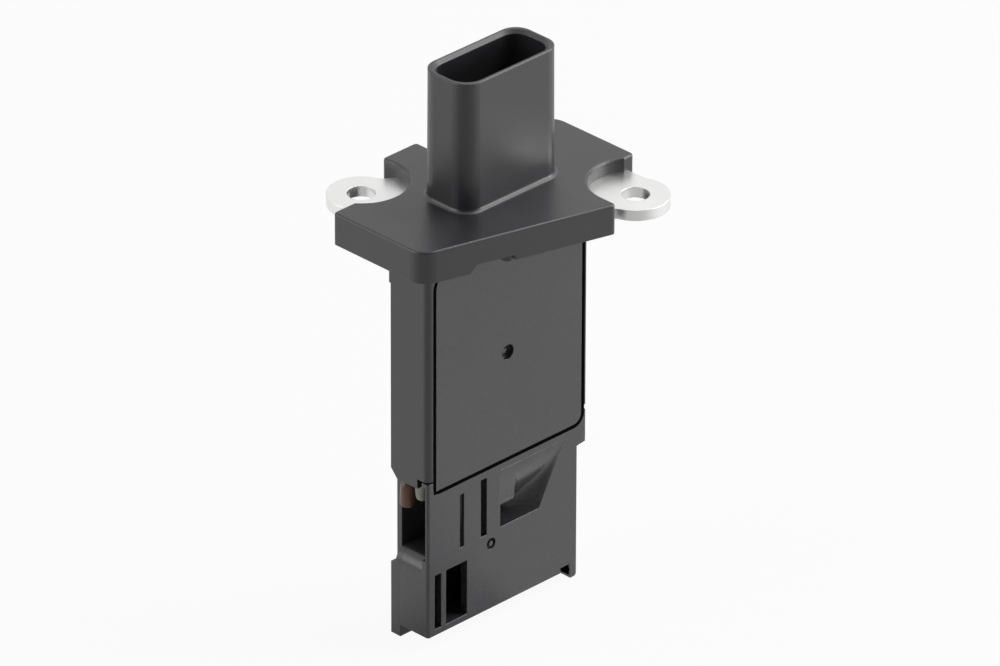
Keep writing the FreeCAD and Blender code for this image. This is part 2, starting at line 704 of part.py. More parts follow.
def jumper_ribbon(number):
    """Bonded ribbon: a foot on the terminal, an arch, and a foot on the board."""
    body = new_body(f"jumper_ribbon_{number + 1}")
    outline = new_sketch(body, "ribbon_outline", "YZ_Plane", "0")
    pad_face = f"(-{SHELF_FACE})"
    start = "shelf_end_depth - pad_clear"
    crest = f"({pad_face} - ribbon_arch)"
    add_polygon(outline, [
        (pad_face, below(f"{start} - ribbon_foot")),
        (pad_face, below(start)),
        (f"{crest} + ribbon_thick", below(f"{start} + pad_clear")),
        (f"{BOARD_FRONT} - ribbon_thick", below(f"{start} + ribbon_reach - ribbon_thick")),
        (BOARD_FRONT, below(f"{start} + ribbon_reach - ribbon_thick")),
        (BOARD_FRONT, below(f"{start} + ribbon_reach + ribbon_foot")),
        (f"{BOARD_FRONT} - ribbon_thick", below(f"{start} + ribbon_reach + ribbon_foot")),
        (f"{BOARD_FRONT} - ribbon_thick", below(f"{start} + ribbon_reach")),
        (crest, below(f"{start} + pad_clear")),
        (f"{pad_face} - ribbon_thick", below(start)),
        (f"{pad_face} - ribbon_thick", below(f"{start} - ribbon_foot")),
    ])
    pad(body, "ribbon", outline, "ribbon_width", middle=True)
    body.setExpression("Placement.Base.x", linked(f"shroud_x + {number - 2} * terminal_pitch"))
    return body


def circuit_cover():
    """Flat cover with round corners and the small round recess of its moulding gate."""
    body = new_body("circuit_cover")
    outline = new_sketch(body, "cover_outline", "XZ_Plane", "body_thick / 2")
    add_polygon(outline, cover_corners("0"))
    pad(body, "cover", outline, "cover_thick", along_normal=False)
    places = [(value(across), value(up)) for across, up in cover_corners("0")]
    round_edges(body, "top_corners", edges_along(body.Shape, 1, places[2:]), "cover_corner")
    round_edges(body, "foot_corner", edges_along(body.Shape, 1, places[1:2]), "cover_foot_corner")
    gate = new_sketch(body, "gate_outline", "XZ_Plane", "body_thick / 2")
    add_circle(gate, "gate_x", below("gate_depth"), "gate_radius")
    pocket(body, "gate_recess_pocket", gate, "gate_recess")
    nub = new_sketch(body, "nub_outline", "XZ_Plane", "body_thick / 2 - gate_recess")
    add_circle(nub, "gate_x - gate_nub", below("gate_depth"), "gate_nub")
    pad(body, "nub", nub, "gate_nub")
    return body


def circuit_cover_seal():
    """Adhesive bead between the circuit cover and its ledge."""
    body = new_body("circuit_cover_seal")
    outline = new_sketch(body, "bead_outline", "XZ_Plane", f"-{LEDGE_FACE}")
    bands = {"outer": ("(ledge * 0.7)", "(box_end_wall / 3)"), "inner": ("(ledge * 0.3)", "(box_end_wall * 2 / 3)")}
    for reach, rise in bands.values():
        add_rectangle(outline, f"{POCKET_LEFT} - {reach}", f"{POCKET_RIGHT} + {reach}",
                      below(f"box_depth - {rise}"), below(f"{POCKET_TOP_DEPTH} - {reach}"))
    pad(body, "bead", outline, "seal_thick")
    for name, (reach, rise) in bands.items():
        top = value(below(f"{POCKET_TOP_DEPTH} - {reach}"))
        places = [(value(f"{POCKET_LEFT} - {reach}"), top), (value(f"{POCKET_RIGHT} + {reach}"), top)]
        round_edges(body, f"{name}_corners", edges_along(body.Shape, 1, places), f"cover_corner - ledge + {reach}")
    return body


def shell_corners():
    """Outline of the bypass shell's front face in the XZ plane."""
    return [
        ("-body_left", below(BYPASS_END_DEPTH)),
        ("bypass_right - foot_width", below(BYPASS_END_DEPTH)),
        ("bypass_right - foot_width", below(FOOT_DEPTH)),
        ("bypass_right", below(FOOT_DEPTH)),
        ("bypass_right", below(f"{LUG_END_DEPTH} + lug_slope")),
        ("body_right", below(LUG_END_DEPTH)),
        ("body_right", below(LUG_TOP_DEPTH)),
        ("cover_right + cover_gap", below(LUG_TOP_DEPTH)),
        ("cover_right + cover_gap", below(SHELL_TOP_DEPTH)),
        ("tab_width - body_left", below(SHELL_TOP_DEPTH)),
        ("tab_width - body_left", below(f"{SHELL_TOP_DEPTH} - tab_height")),
        ("-body_left", below(f"{SHELL_TOP_DEPTH} - tab_height")),
    ]


def channel_corners():
    """Outline of the bypass channel: mouth, straight run, turn round the divider, return run."""
    return [
        ("-body_left - 1", below(CHANNEL_FLOOR_DEPTH)),
        (f"{CHANNEL_RIGHT} - turn_gap", below(CHANNEL_FLOOR_DEPTH)),
        (f"{CHANNEL_RIGHT} - turn_gap", below(RETURN_TOP_DEPTH)),
        ("end_wall - body_left", below(RETURN_TOP_DEPTH)),
        ("end_wall - body_left", below(RETURN_FLOOR_DEPTH)),
        (CHANNEL_RIGHT, below(RETURN_FLOOR_DEPTH)),
        (CHANNEL_RIGHT, below(CHANNEL_TOP_DEPTH)),
        ("mouth_length - body_left", below(CHANNEL_TOP_DEPTH)),
        ("mouth_length - body_left", below("box_depth - 1")),
        ("-body_left - 1", below("box_depth - 1")),
    ]


def scoop_sections(body, name, wall, deep):
    """The scoop's outline in the shell's face, and its throat behind, both grown by a wall."""
    mouth = new_sketch(body, f"{name}_mouth", "XZ_Plane", "body_thick / 2")
    add_polygon(mouth, [
        (f"-scoop_left - {wall}", below(f"{SCOOP_END_DEPTH} + {wall}")),
        (f"scoop_foot + {wall}", below(f"{SCOOP_END_DEPTH} + {wall}")),
        (f"scoop_head + {wall}", below(CHANNEL_TOP_DEPTH)),
        (f"-scoop_left - {wall}", below(CHANNEL_TOP_DEPTH)),
    ])
    throat = new_sketch(body, f"{name}_throat", "XZ_Plane", f"body_thick / 2 - ({deep})")
    add_rectangle(throat, f"-scoop_left - {wall}", f"scoop_throat - scoop_left + {wall}",
                  below(f"{SCOOP_END_DEPTH} + {wall}"), below(f"{SCOOP_LIP_DEPTH} - {wall}"))
    return mouth, throat


def add_scoop(body):
    """Outlet scoop: a bowl, flush at its top and right, that falls to a throat, with a land at its left."""
    for kind, name, wall, deep in (("Additive", "scoop_walls", "scoop_wall", "scoop_deep"),
                                   ("Subtractive", "scoop_bowl", "0", "scoop_deep")):
        mouth, throat = scoop_sections(body, name, wall, deep)
        loft = body.newObject(f"PartDesign::{kind}Loft", name)
        loft.Profile = mouth
        loft.Sections = [throat]
        loft.Ruled = True
        settle(loft)
    ramp = "scoop_deep * land_end_drop / scoop_lip_drop"
    land = new_sketch(body, "land_outline", "YZ_Plane", "-scoop_left - scoop_wall / 2")
    add_polygon(land, [
        (FRONT, below(CHANNEL_TOP_DEPTH)),
        (f"{FRONT} + land_recess", below(f"{CHANNEL_TOP_DEPTH} + land_lead")),
        (f"{FRONT} + land_recess", below("box_depth + land_end_drop")),
        (f"{FRONT} + {ramp}", below("box_depth + land_end_drop")),
        (f"{FRONT} + scoop_wall", below(CHANNEL_TOP_DEPTH)),
    ])
    pad(body, "land", land, "land_width + scoop_wall / 2")


def bypass_cover():
    """Front shell of the bypass: face, end walls, divider, outlet scoop, slots, tabs and foot."""
    body = new_body("bypass_cover")
    face = new_sketch(body, "face_outline", "XZ_Plane", "body_thick / 2")
    add_polygon(face, shell_corners())
    pad(body, "face", face, "shell_face", along_normal=False)
    deep_edge = [(value("-body_left"), value(FRONT))]
    inner = [(value("cover_right + cover_gap"), value(below(SHELL_TOP_DEPTH)))]
    round_edges(body, "seat_foot_corner", edges_along(body.Shape, 1, inner), "cover_foot_corner + cover_gap")
    core = new_sketch(body, "core_outline", "XZ_Plane", f"-{SHELL_INSIDE}")
    add_polygon(core, shell_corners()[:6] + [
        ("body_right", below(SHELL_TOP_DEPTH)), ("-body_left", below(SHELL_TOP_DEPTH))])
    pad(body, "core", core, f"{PARTING} - {SHELL_INSIDE}", along_normal=False)
    roof = new_sketch(body, "roof_outline", "XZ_Plane", f"-({LEDGE_FACE} + seal_thick)")
    add_rectangle(roof, "mouth_length - body_left", "body_right", below(SHELL_TOP_DEPTH),
                  below("box_depth + tab_gap"))
    pad(body, "roof", roof, f"{PARTING} - {LEDGE_FACE} - seal_thick", along_normal=False)
    tab = new_sketch(body, "tab_outline", "XZ_Plane", "body_thick / 2")
    add_rectangle(tab, "-body_left", "tab_width - body_left", below(SHELL_TOP_DEPTH),
                  below(f"{SHELL_TOP_DEPTH} - tab_height"))
    pad(body, "tab", tab, "tab_thick", along_normal=False)
    channel = new_sketch(body, "channel_outline", "XZ_Plane", f"-{PARTING}")
    add_polygon(channel, channel_corners())
    pocket(body, "channel", channel, f"{PARTING} - {SHELL_INSIDE}", along_normal=True)
    places = [(value(across), value(up)) for across, up in channel_corners()]
    round_edges(body, "turn_rounds", edges_along(body.Shape, 1, places[5:7]), "turn_corner")
    round_edges(body, "divider_tip", edges_along(body.Shape, 1, places[1:3]), "divider * 0.45")
    bell = [(value("-body_left"), value(below(CHANNEL_FLOOR_DEPTH)))]
    round_edges(body, "bell_mouth", edges_along(body.Shape, 1, bell), "bell_radius")
    round_edges(body, "roof_round", edges_along(body.Shape, 1, places[7:8]), "mouth_corner")
    add_scoop(body)
    slots = new_sketch(body, "slot_outline", "XZ_Plane", "body_thick / 2")
    for start, width, top, end in (
            ("slot_one_x", "slot_one_width", "box_depth + slot_one_top_drop", CHANNEL_FLOOR_DEPTH),
            ("slot_two_x", "slot_two_width", "box_depth + slot_two_top_drop", CHANNEL_FLOOR_DEPTH),
            ("slot_three_x", "slot_three_width", RETURN_TOP_DEPTH, RETURN_FLOOR_DEPTH),
            ("slot_four_x", "slot_four_width", RETURN_TOP_DEPTH, RETURN_FLOOR_DEPTH)):
        add_rectangle(slots, start, f"{start} + {width}", below(end), below(top))
    pocket(body, "slots", slots, "shell_face")
    gate = new_sketch(body, "gate_outline", "XZ_Plane", "body_thick / 2")
    add_circle(gate, "shell_gate_x", below("box_depth + shell_gate_drop"), "shell_gate_radius")
    add_circle(gate, "shell_gate_x", below("box_depth + shell_gate_drop"), "shell_nub_radius")
    pocket(body, "gate_recess_pocket", gate, "shell_gate_recess")
    notch = new_sketch(body, "foot_notch_outline", "XZ_Plane", "body_thick / 2")
    add_rectangle(notch, "bypass_right - foot_width - foot_notch", "bypass_right - foot_width",
                  below(f"{BYPASS_END_DEPTH} + 1"), below(f"{RETURN_FLOOR_DEPTH} + tab_gap / 2"))
    pocket(body, "foot_notch_pocket", notch, "foot_notch_reach")
    foot = [(value("bypass_right"), value(below(FOOT_DEPTH)))]
    round_edges(body, "foot_end_round", edges_along(body.Shape, 1, foot), "foot_round")
    slit = new_sketch(body, "slit_outline", "XY_Plane", below(CHANNEL_TOP_DEPTH))
    add_rectangle(slit, *centred("tongue_x", "tongue_width + 2 * tongue_clear"),
                  f"{TONGUE_FRONT} - tongue_clear", f"{BOARD_FRONT} + tongue_clear")
    pocket(body, "tongue_slit", slit, "channel_top_drop", along_normal=True)
    flare = new_sketch(body, "flare_outline", "XY_Plane", below(CHANNEL_FLOOR_DEPTH))
    add_polygon(flare, [
        ("-body_left - 0.1", f"{FRONT} + mouth_face"),
        ("mouth_flare - body_left", SHELL_INSIDE),
        ("-body_left - 0.1", f"{SHELL_INSIDE} + 0.1"),
    ])
    pocket(body, "mouth_flare_pocket", flare, "channel_floor_drop", along_normal=True)
    round_edges(body, "front_edge", edges_along(body.Shape, 2, deep_edge), "body_edge * 0.4")
    return body


def base_plate():
    body = new_body("base_plate")
    outline = new_sketch(body, "base_outline", "XZ_Plane", f"-{BASE_FRONT}")
    corners = (f"{POCKET_LEFT} + base_clear", f"{POCKET_RIGHT} - base_clear",
               below(f"{POCKET_END_DEPTH} - base_clear"), below("shelf_end_depth + base_clear"))
    add_rectangle(outline, *corners)
    pad(body, "base", outline, "base_thick", along_normal=False)
    left, right, low, high = [value(formula) for formula in corners]
    places = [(left, low), (right, low), (right, high), (left, high)]
    round_edges(body, "base_corners", edges_along(body.Shape, 1, places), "base_corner")
    return body


def pocket_span(inset):
    """X and Z pairs of the deep pocket's outline, drawn in by an inset."""
    return ((f"{POCKET_LEFT} + {inset}", f"{POCKET_RIGHT} - {inset}"),
            (below(f"{POCKET_END_DEPTH} - {inset}"), below(f"shelf_end_depth + {inset}")))


def layers():
    """Adhesive films and the ceramic board, stacked on the floor of the circuit pocket."""
    film_across, film_up = pocket_span("glue_inset * 2")
    board_across, board_up = pocket_span("board_inset")
    glue_across, glue_up = pocket_span("(board_inset + glue_inset)")
    return [
        block("base_adhesive", film_across, (BASE_BACK, POCKET_FLOOR), film_up),
        block("board_adhesive", glue_across, (BOARD_BACK, BASE_FRONT), glue_up),
        block("circuit_board", board_across, (BOARD_FRONT, BOARD_BACK), board_up),
    ]


def on_board(label, middle_x, middle_depth, length, height, thick):
    """A component that stands on the front of the board."""
    return block(label, centred(middle_x, length), (f"{BOARD_FRONT} - ({thick})", BOARD_FRONT),
                 centred(below(middle_depth), height))


def components():
    parts = [on_board("control_chip", "chip_x", "chip_depth", "chip_side", "chip_side", "chip_thick")]
    for number in range(4):
        parts.append(on_board(f"capacitor_{number + 1}", "capacitor_x",
                              f"capacitor_depth + {number} * capacitor_pitch",
                              "capacitor_length", "capacitor_width", "capacitor_thick"))
    for number in range(3):
        parts.append(on_board(f"resistor_{number + 1}", f"resistor_x + {number} * resistor_pitch",
                              "resistor_depth", "resistor_width", "resistor_length", "resistor_thick"))
    return parts


def sensor_carrier():
    """Flat tongue from the board through the box end into the channel, recessed for its element."""
    body = new_body("sensor_carrier")
    outline = new_sketch(body, "tongue_outline", "XZ_Plane", f"-{TONGUE_FRONT}")
    left, right = centred("tongue_x", "tongue_width")
    add_rectangle(outline, left, right, below(TONGUE_END_DEPTH), below(TONGUE_TOP_DEPTH))
    pad(body, "tongue", outline, "tongue_thick", along_normal=False)
    places = [(value(left), value(below(TONGUE_END_DEPTH))), (value(right), value(below(TONGUE_END_DEPTH)))]
    round_edges(body, "tongue_corners", edges_along(body.Shape, 1, places), "tongue_corner")
    recess = new_sketch(body, "element_outline", "XZ_Plane", f"-{TONGUE_FRONT}")
    add_rectangle(recess, *centred("tongue_x", "element_width"), below(ELEMENT_END_DEPTH),
                  below(f"{ELEMENT_END_DEPTH} - element_height"))
    pocket(body, "element_recess", recess, "element_thick")
    return body


def element_parts():
    element_top = f"{ELEMENT_END_DEPTH} - element_height"
    element = block("flow_element", centred("tongue_x", "element_width"),
                    (TONGUE_FRONT, f"{TONGUE_FRONT} + element_thick"), (below(ELEMENT_END_DEPTH), below(element_top)))
    resin = block("element_sealant", centred("tongue_x", "element_width + resin_thick"),
                  (f"{TONGUE_FRONT} - resin_thick", TONGUE_FRONT),
                  (below(f"{element_top} + resin_height / 2"), below(f"{element_top} - resin_height / 2")))
    return [element, resin]


def carrier_seal(carrier):
    """Sealant that fills the slit round the tongue."""
    plug = block("slit_fill", centred("tongue_x", "tongue_width + 2 * tongue_clear"),
                 (f"{TONGUE_FRONT} - tongue_clear", f"{BOARD_FRONT} + tongue_clear"),
                 (below("box_depth"), below(POCKET_END_DEPTH)))
    seal = doc.addObject("Part::Cut", "carrier_seal")
    seal.Base = plug
    seal.Tool = carrier
    return seal


def thermistor():
    """Brown bead with rounded ends, hanging in the mouth of the inlet."""
    body = new_body("thermistor")
    outline = new_sketch(body, "bead_outline", "XY_Plane", below(f"{BEAD_TOP_DEPTH} + bead_length"))
    add_circle(outline, "bead_x", "bead_y", "bead_radius")
    pad(body, "bead", outline, "bead_length")
    ends = [f"Edge{number}" for number, edge in enumerate(body.Shape.Edges, start=1)
            if isinstance(edge.Curve, Part.Circle)]
    round_edges(body, "bead_ends", ends, "bead_round")
    return body


def thermistor_lead(label, side):
    """Tinned wire: up from the bead into the moulding, then across on to the board."""
    body = new_body(label)
    across = f"bead_x + {side} * lead_pitch / 2"
    through = f"({BOARD_FRONT} - lead_radius - lead_clear)"
    rise = f"lead_rise + {(1 - side) // 2} * lead_step"
    start, top = below(BEAD_TOP_DEPTH), below(f"box_depth - ({rise})")
    path = new_sketch(body, "lead_path", "XZ_Plane", f"-{through}")
    bend = value("lead_bend")
    foot = Vector(value(across), value(start), 0)
    knee = Vector(foot.x, value(top), 0)
    far = Vector(foot.x + value("lead_reach"), knee.y, 0)
    centre = knee + Vector(bend, -bend, 0)
    turn = Part.ArcOfCircle(Part.Circle(centre, Vector(0, 0, 1), bend), *QUARTER)
    upright = sketch_line(path, foot, knee - Vector(0, bend, 0))
    corner = path.addGeometry(turn, False)
    level = sketch_line(path, knee + Vector(bend, 0, 0), far)
    path.addConstraint(Sketcher.Constraint("Tangent", upright, 2, corner, 2))
    path.addConstraint(Sketcher.Constraint("Tangent", corner, 1, level, 1))
    place_point(path, upright, 1, across, start)
    place_point(path, level, 2, f"{across} + lead_reach", top)
    path.addConstraint(Sketcher.Constraint("Vertical", upright))
    bind(path, Sketcher.Constraint("Radius", corner, bend), "lead_bend")
    wire = new_sketch(body, "wire_outline", "XY_Plane", start)
    add_circle(wire, across, through, "lead_radius")
    doc.recompute()
    sweep = body.newObject("PartDesign::AdditivePipe", "lead")
    sweep.Profile = wire
    sweep.Spine = (path, ["Edge1", "Edge2", "Edge3"])
    settle(sweep)
    return body


QUARTER = tuple(FreeCAD.Units.Quantity(turn, "deg").getValueAs("rad").Value for turn in (90, 180))


def sketch_line(sketch, start, end):
    return sketch.addGeometry(Part.LineSegment(start, end), False)


def protective_gel(covered):
    """Clear gel that fills the pocket over everything on the board."""
    level = f"(-{SHELF_FACE} - gel_proud)"
    across, deep_up = pocket_span("0")
    over = block("gel_over", across, (level, SHELF_FACE), (deep_up[0], below(POCKET_TOP_DEPTH)))
    under = block("gel_under", across, (SHELF_FACE, POCKET_FLOOR), deep_up)
    filling = doc.addObject("Part::MultiFuse", "gel_fill")
    filling.Shapes = [over, under]
    displaced = doc.addObject("Part::Compound", "gel_displaced")
    displaced.Links = covered
    gel = doc.addObject("Part::Cut", "protective_gel")
    gel.Base = filling
    gel.Tool = displaced
    return gel


def check(pieces):
    """Stop at any object that failed, and at any piece that isn't one sound solid."""
    doc.recompute()
    for item in doc.Objects:
        if {"Invalid", "Error"} & set(item.State):
            raise RuntimeError(f"{item.Name} is {item.State}")
    for piece in pieces:
        shape = piece.Shape
        if shape.isNull() or not shape.isValid() or len(shape.Solids) != 1:
            raise RuntimeError(f"{piece.Label} is not one valid solid: {len(shape.Solids)}")


plate = mounting_plate()
terminals = [terminal(number, None) for number in range(5)]
leads = [thermistor_lead("thermistor_lead_outer", -1), thermistor_lead("thermistor_lead_inner", 1)]
ribbons = [jumper_ribbon(number) for number in range(5)]
carrier = sensor_carrier()
stack = [base_plate()] + layers() + components()
seal = carrier_seal(carrier)
gel = protective_gel(stack + ribbons + terminals + leads + [carrier])
pieces = [main_housing(plate, terminals, leads), plate, circuit_cover(), circuit_cover_seal(),
          bypass_cover(), carrier, seal, thermistor(), gel]
pieces += terminals + leads + ribbons + stack + element_parts()
check(pieces)
os.makedirs("parts", exist_ok=True)
for piece in pieces:
    piece.Shape.exportStep(f"parts/{piece.Label}.step")
    print(piece.Label, round(piece.Shape.Volume, 2))
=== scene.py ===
import math

import bmesh
import bpy
from mathutils import Matrix, Vector
from mathutils.bvhtree import BVHTree


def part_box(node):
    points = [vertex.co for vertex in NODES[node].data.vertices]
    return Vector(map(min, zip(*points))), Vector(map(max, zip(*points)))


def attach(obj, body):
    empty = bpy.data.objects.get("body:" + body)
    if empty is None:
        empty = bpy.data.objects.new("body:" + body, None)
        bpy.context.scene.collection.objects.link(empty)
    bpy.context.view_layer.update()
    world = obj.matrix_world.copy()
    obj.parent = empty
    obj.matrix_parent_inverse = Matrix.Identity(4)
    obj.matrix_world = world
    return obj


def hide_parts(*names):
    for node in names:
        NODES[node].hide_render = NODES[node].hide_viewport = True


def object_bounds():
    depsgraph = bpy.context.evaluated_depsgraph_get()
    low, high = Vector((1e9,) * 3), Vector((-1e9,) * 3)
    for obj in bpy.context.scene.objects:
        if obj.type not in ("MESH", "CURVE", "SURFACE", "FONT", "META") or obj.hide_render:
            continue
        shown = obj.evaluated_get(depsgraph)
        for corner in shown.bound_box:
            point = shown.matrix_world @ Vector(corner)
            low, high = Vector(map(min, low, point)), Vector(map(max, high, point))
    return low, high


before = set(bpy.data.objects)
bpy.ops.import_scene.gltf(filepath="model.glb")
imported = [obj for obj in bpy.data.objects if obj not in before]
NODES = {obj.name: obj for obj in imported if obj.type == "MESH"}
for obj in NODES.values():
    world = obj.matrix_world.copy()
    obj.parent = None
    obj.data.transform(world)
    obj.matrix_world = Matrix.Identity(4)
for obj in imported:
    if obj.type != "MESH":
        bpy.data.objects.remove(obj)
CAD_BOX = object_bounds()

bl_info = {
    "name": "Airflow sensor dresser",
    "version": (1, 0, 0),
    "blender": (4, 5, 0),
    "location": "3D View > Sidebar > Airflow sensor",
    "description": "Finishes, fine detail and studio for the mass airflow sensor",
    "category": "Object",
}

# All lengths are in metres.
MM = 0.001
BOARD_LOW, BOARD_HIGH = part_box("circuit_board")
PROBE_FRONT, COVER_BACK = (corner.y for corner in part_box("circuit_cover"))
# The height of the inlet mouth's roof, and the pale compound on it: its middle in X and Y, drop and radius.
MOUTH_ROOF = -0.0494
COMPOUND_SPOT, COMPOUND_DROP, COMPOUND_RADIUS = (-0.0202, -0.0009), 0.0035, 0.0013
# Each gate recess: its middle in X and Z, the depth of its floor, and the radius of the broken sprue on it.
GATES = ((-0.00225, -0.0278, 0.001, 0.00045), (-0.0064, -0.0662, 0.0008, 0.0003))
# Wall of the notch at the shell's foot, and the corners of the black patch painted on it as shade, in Y and
# Z.
FOOT_NOTCH = (0.01425, Vector((-0.0045, -0.0814)), Vector((0.0023, -0.0788)))
# The outlet scoop in the shell's face: its left edge, the ends of its slanted right edge, its top and foot,
# its throat's top, right side and depth, and the depth and end of the land at its left.
SCOOP_LEFT, SCOOP_HEAD, SCOOP_FOOT = -0.00405, 0.01235, 0.00595
SCOOP_TOP, SCOOP_END = -0.0518, -0.0637
THROAT_TOP, THROAT_RIGHT, THROAT_DEPTH = -0.0623, 0.00045, 0.0048
LAND_DEPTH, LAND_END = 0.0008, -0.0591
# On the board: how many contacts each side of the chip has, their spacing at its side, how far from it the
# tracks end, the spacing of the tracks' lanes, and the step from one ribbon's track to the next.
CONTACTS, CONTACT_PITCH = 5, 0.0012
TRACK_GAP, LANE_PITCH, TRACK_STEP = 0.0012, 0.0009, 0.0006
# The photograph's camera, from its vanishing lines: where it aims, its axes and its distance.
AIM = Vector((0.00075, 0.0002, -0.027))
CAMERA_DISTANCE = 2.1453
CAMERA_LENS = 424.8
CAMERA_TURN = math.radians(44.964)
CAMERA_RISE = math.radians(28.811)
CAMERA_ROLL = math.radians(0.189)
# Each soft lamp: its name, its place, its size and the setting that holds its power.
LAMPS = (("key_lamp", (0.68, -0.62, 0.14), 0.4, "key_power"),
         ("fill_lamp", (-0.75, 0.3, 0.25), 0.6, "fill_power"),
         ("top_lamp", (0.56, -0.2, 0.68), 0.7, "top_power"))


class SensorFinish(bpy.types.PropertyGroup):
    """Colours and surface of what the sensor is made of."""

    housing_colour: bpy.props.FloatVectorProperty(
        name="Housing colour", description="Moulding of the flange, shroud and box",
        subtype="COLOR", default=(0.028, 0.0275, 0.0315))
    cover_colour: bpy.props.FloatVectorProperty(
        name="Cover colour", description="Moulding of the two covers",
        subtype="COLOR", default=(0.035, 0.0345, 0.0385))
    plate_colour: bpy.props.FloatVectorProperty(
        name="Ear colour", description="Plating on the metal ears",
        subtype="COLOR", default=(0.79, 0.79, 0.775))
    bead_colour: bpy.props.FloatVectorProperty(
        name="Bead colour", description="Resin coat of the intake-air thermistor",
        subtype="COLOR", default=(0.105, 0.046, 0.026))
    grain_size: bpy.props.FloatProperty(
        name="Grain size", description="Spacing of the mould's fine texture",
        subtype="DISTANCE", unit="LENGTH", default=0.00016)
    edge_round: bpy.props.FloatProperty(
        name="Edge round", description="Radius that moulded edges catch the light with",
        subtype="DISTANCE", unit="LENGTH", default=0.0002)
    # How far edges are lightened: partly polish from handling, partly a painted highlight along them.
    edge_wear_and_highlight: bpy.props.FloatProperty(
        name="Edge wear", description="How far handled edges are polished",
        subtype="FACTOR", min=0.0, max=1.0, default=0.35)


class SensorDetail(bpy.types.PropertyGroup):
    """Sizes of the detail that is added to the solids."""

    bond_wire: bpy.props.FloatProperty(
        name="Bond wire", description="Radius of the chip's bond wires",
        subtype="DISTANCE", unit="LENGTH", default=0.00006)
    track_width: bpy.props.FloatProperty(
        name="Track width", description="Width of the printed conductors",
        subtype="DISTANCE", unit="LENGTH", default=0.0005)
    track_height: bpy.props.FloatProperty(
        name="Track height", description="Thickness of the printed conductors",
        subtype="DISTANCE", unit="LENGTH", default=0.00002)
    bead_neck: bpy.props.FloatProperty(
        name="Bead neck", description="How far the bead's resin climbs its wires",
        subtype="DISTANCE", unit="LENGTH", default=0.0005)
    groove_width: bpy.props.FloatProperty(
        name="Groove width", description="Width of the groove round the circuit cover",
        subtype="DISTANCE", unit="LENGTH", default=0.00055)
    # Black sealant smeared over the groove's rims and in the foot's notch: painted shade.
    shade_smear: bpy.props.FloatProperty(
        name="Shade smear", description="Thickness of the sealant that is smeared over the groove's rims",
        subtype="DISTANCE", unit="LENGTH", default=0.00002)
    stub_height: bpy.props.FloatProperty(
        name="Gate stub", description="Height of the broken sprue in each gate recess",
        subtype="DISTANCE", unit="LENGTH", default=0.00035)
    scoop_curve: bpy.props.FloatProperty(
        name="Scoop curve", description="How late the scoop's bowl falls away, 0 for a straight slope",
        min=0.0, default=0.95)
    scoop_blend: bpy.props.FloatProperty(
        name="Scoop blend", description="Reach of the round between the scoop's slopes",
        subtype="DISTANCE", unit="LENGTH", default=0.0005)
    land_lead: bpy.props.FloatProperty(
        name="Land lead", description="Share of the scoop's fall over which its land sinks to its depth",
        subtype="FACTOR", min=0.1, max=0.7, default=0.7)


class SensorStudio(bpy.types.PropertyGroup):
    """Floor, lamps and room light."""

    key_power: bpy.props.FloatProperty(
        name="Key lamp", description="Power of the large soft lamp at the right",
        unit="POWER", default=4.4)
    fill_power: bpy.props.FloatProperty(
        name="Fill lamp", description="Power of the soft lamp at the left",
        unit="POWER", default=2.4)
    top_power: bpy.props.FloatProperty(
        name="Top lamp", description="Power of the soft lamp high at the right",
        unit="POWER", default=5.5)
    world_level: bpy.props.FloatProperty(
        name="Room light", description="Strength of the even light all round",
        min=0.0, default=0.1)
    floor_colour: bpy.props.FloatVectorProperty(
        name="Floor colour", description="Pale studio floor",
        subtype="COLOR", default=(0.82, 0.82, 0.82))
    floor_white: bpy.props.FloatProperty(
        name="Floor glow", description="Share of plain white in the floor that the camera sees",
        subtype="FACTOR", min=0.0, max=1.0, default=0.93)


def feed(tree, socket, value):
    """Link a socket to another node's output, or set its value. A colour is given as three channels."""
    if isinstance(value, bpy.types.NodeSocket):
        tree.links.new(value, socket)
    else:
        socket.default_value = (*value, 1.0) if socket.type == "RGBA" else value


def feed_all(tree, node, **sockets):
    """Feed a node's inputs by their names, with an underscore for each space."""
    for name, value in sockets.items():
        feed(tree, node.inputs[name.replace("_", " ")], value)


def add_node(tree, kind, **sockets):
    """A new node with its named inputs fed."""
    made = tree.nodes.new(kind)
    feed_all(tree, made, **sockets)
    return made


def math_node(tree, operation, first, second):
    """The result of an operation on two values."""
    made = tree.nodes.new("ShaderNodeMath")
    made.operation = operation
    feed(tree, made.inputs[0], first)
    feed(tree, made.inputs[1], second)
    return made.outputs[0]


def dot_product(tree, first, second):
    """How far two directions agree."""
    made = tree.nodes.new("ShaderNodeVectorMath")
    made.operation = "DOT_PRODUCT"
    feed(tree, made.inputs[0], first)
    feed(tree, made.inputs[1], second)
    return made.outputs["Value"]


def noise(tree, place, scale, detail, roughness=0.5, distortion=0.0):
    """Soft noise over a place, from 0 to 1."""
    return add_node(tree, "ShaderNodeTexNoise", Vector=place, Scale=scale, Detail=detail,
                    Roughness=roughness, Distortion=distortion).outputs[0]


def ramp_node(tree, factor, stops):
    """A colour ramp with (place, grey level) or (place, colour) stops."""
    made = tree.nodes.new("ShaderNodeValToRGB")
    tree.links.new(factor, made.inputs[0])
    band = made.color_ramp.elements
    while len(band) < len(stops):
        band.new(0.5)
    for element, (place, tone) in zip(band, stops):
        element.position = place
        element.color = (*tone, 1.0) if isinstance(tone, tuple) else (tone, tone, tone, 1.0)
    return made.outputs[0]


def mix_colours(tree, factor, first, second):
    """The colour that lies between two by a factor."""
    made = tree.nodes.new("ShaderNodeMix")
    made.data_type = "RGBA"
    for number, value in ((0, factor), (6, first), (7, second)):
        feed(tree, made.inputs[number], value)
    return made.outputs[2]


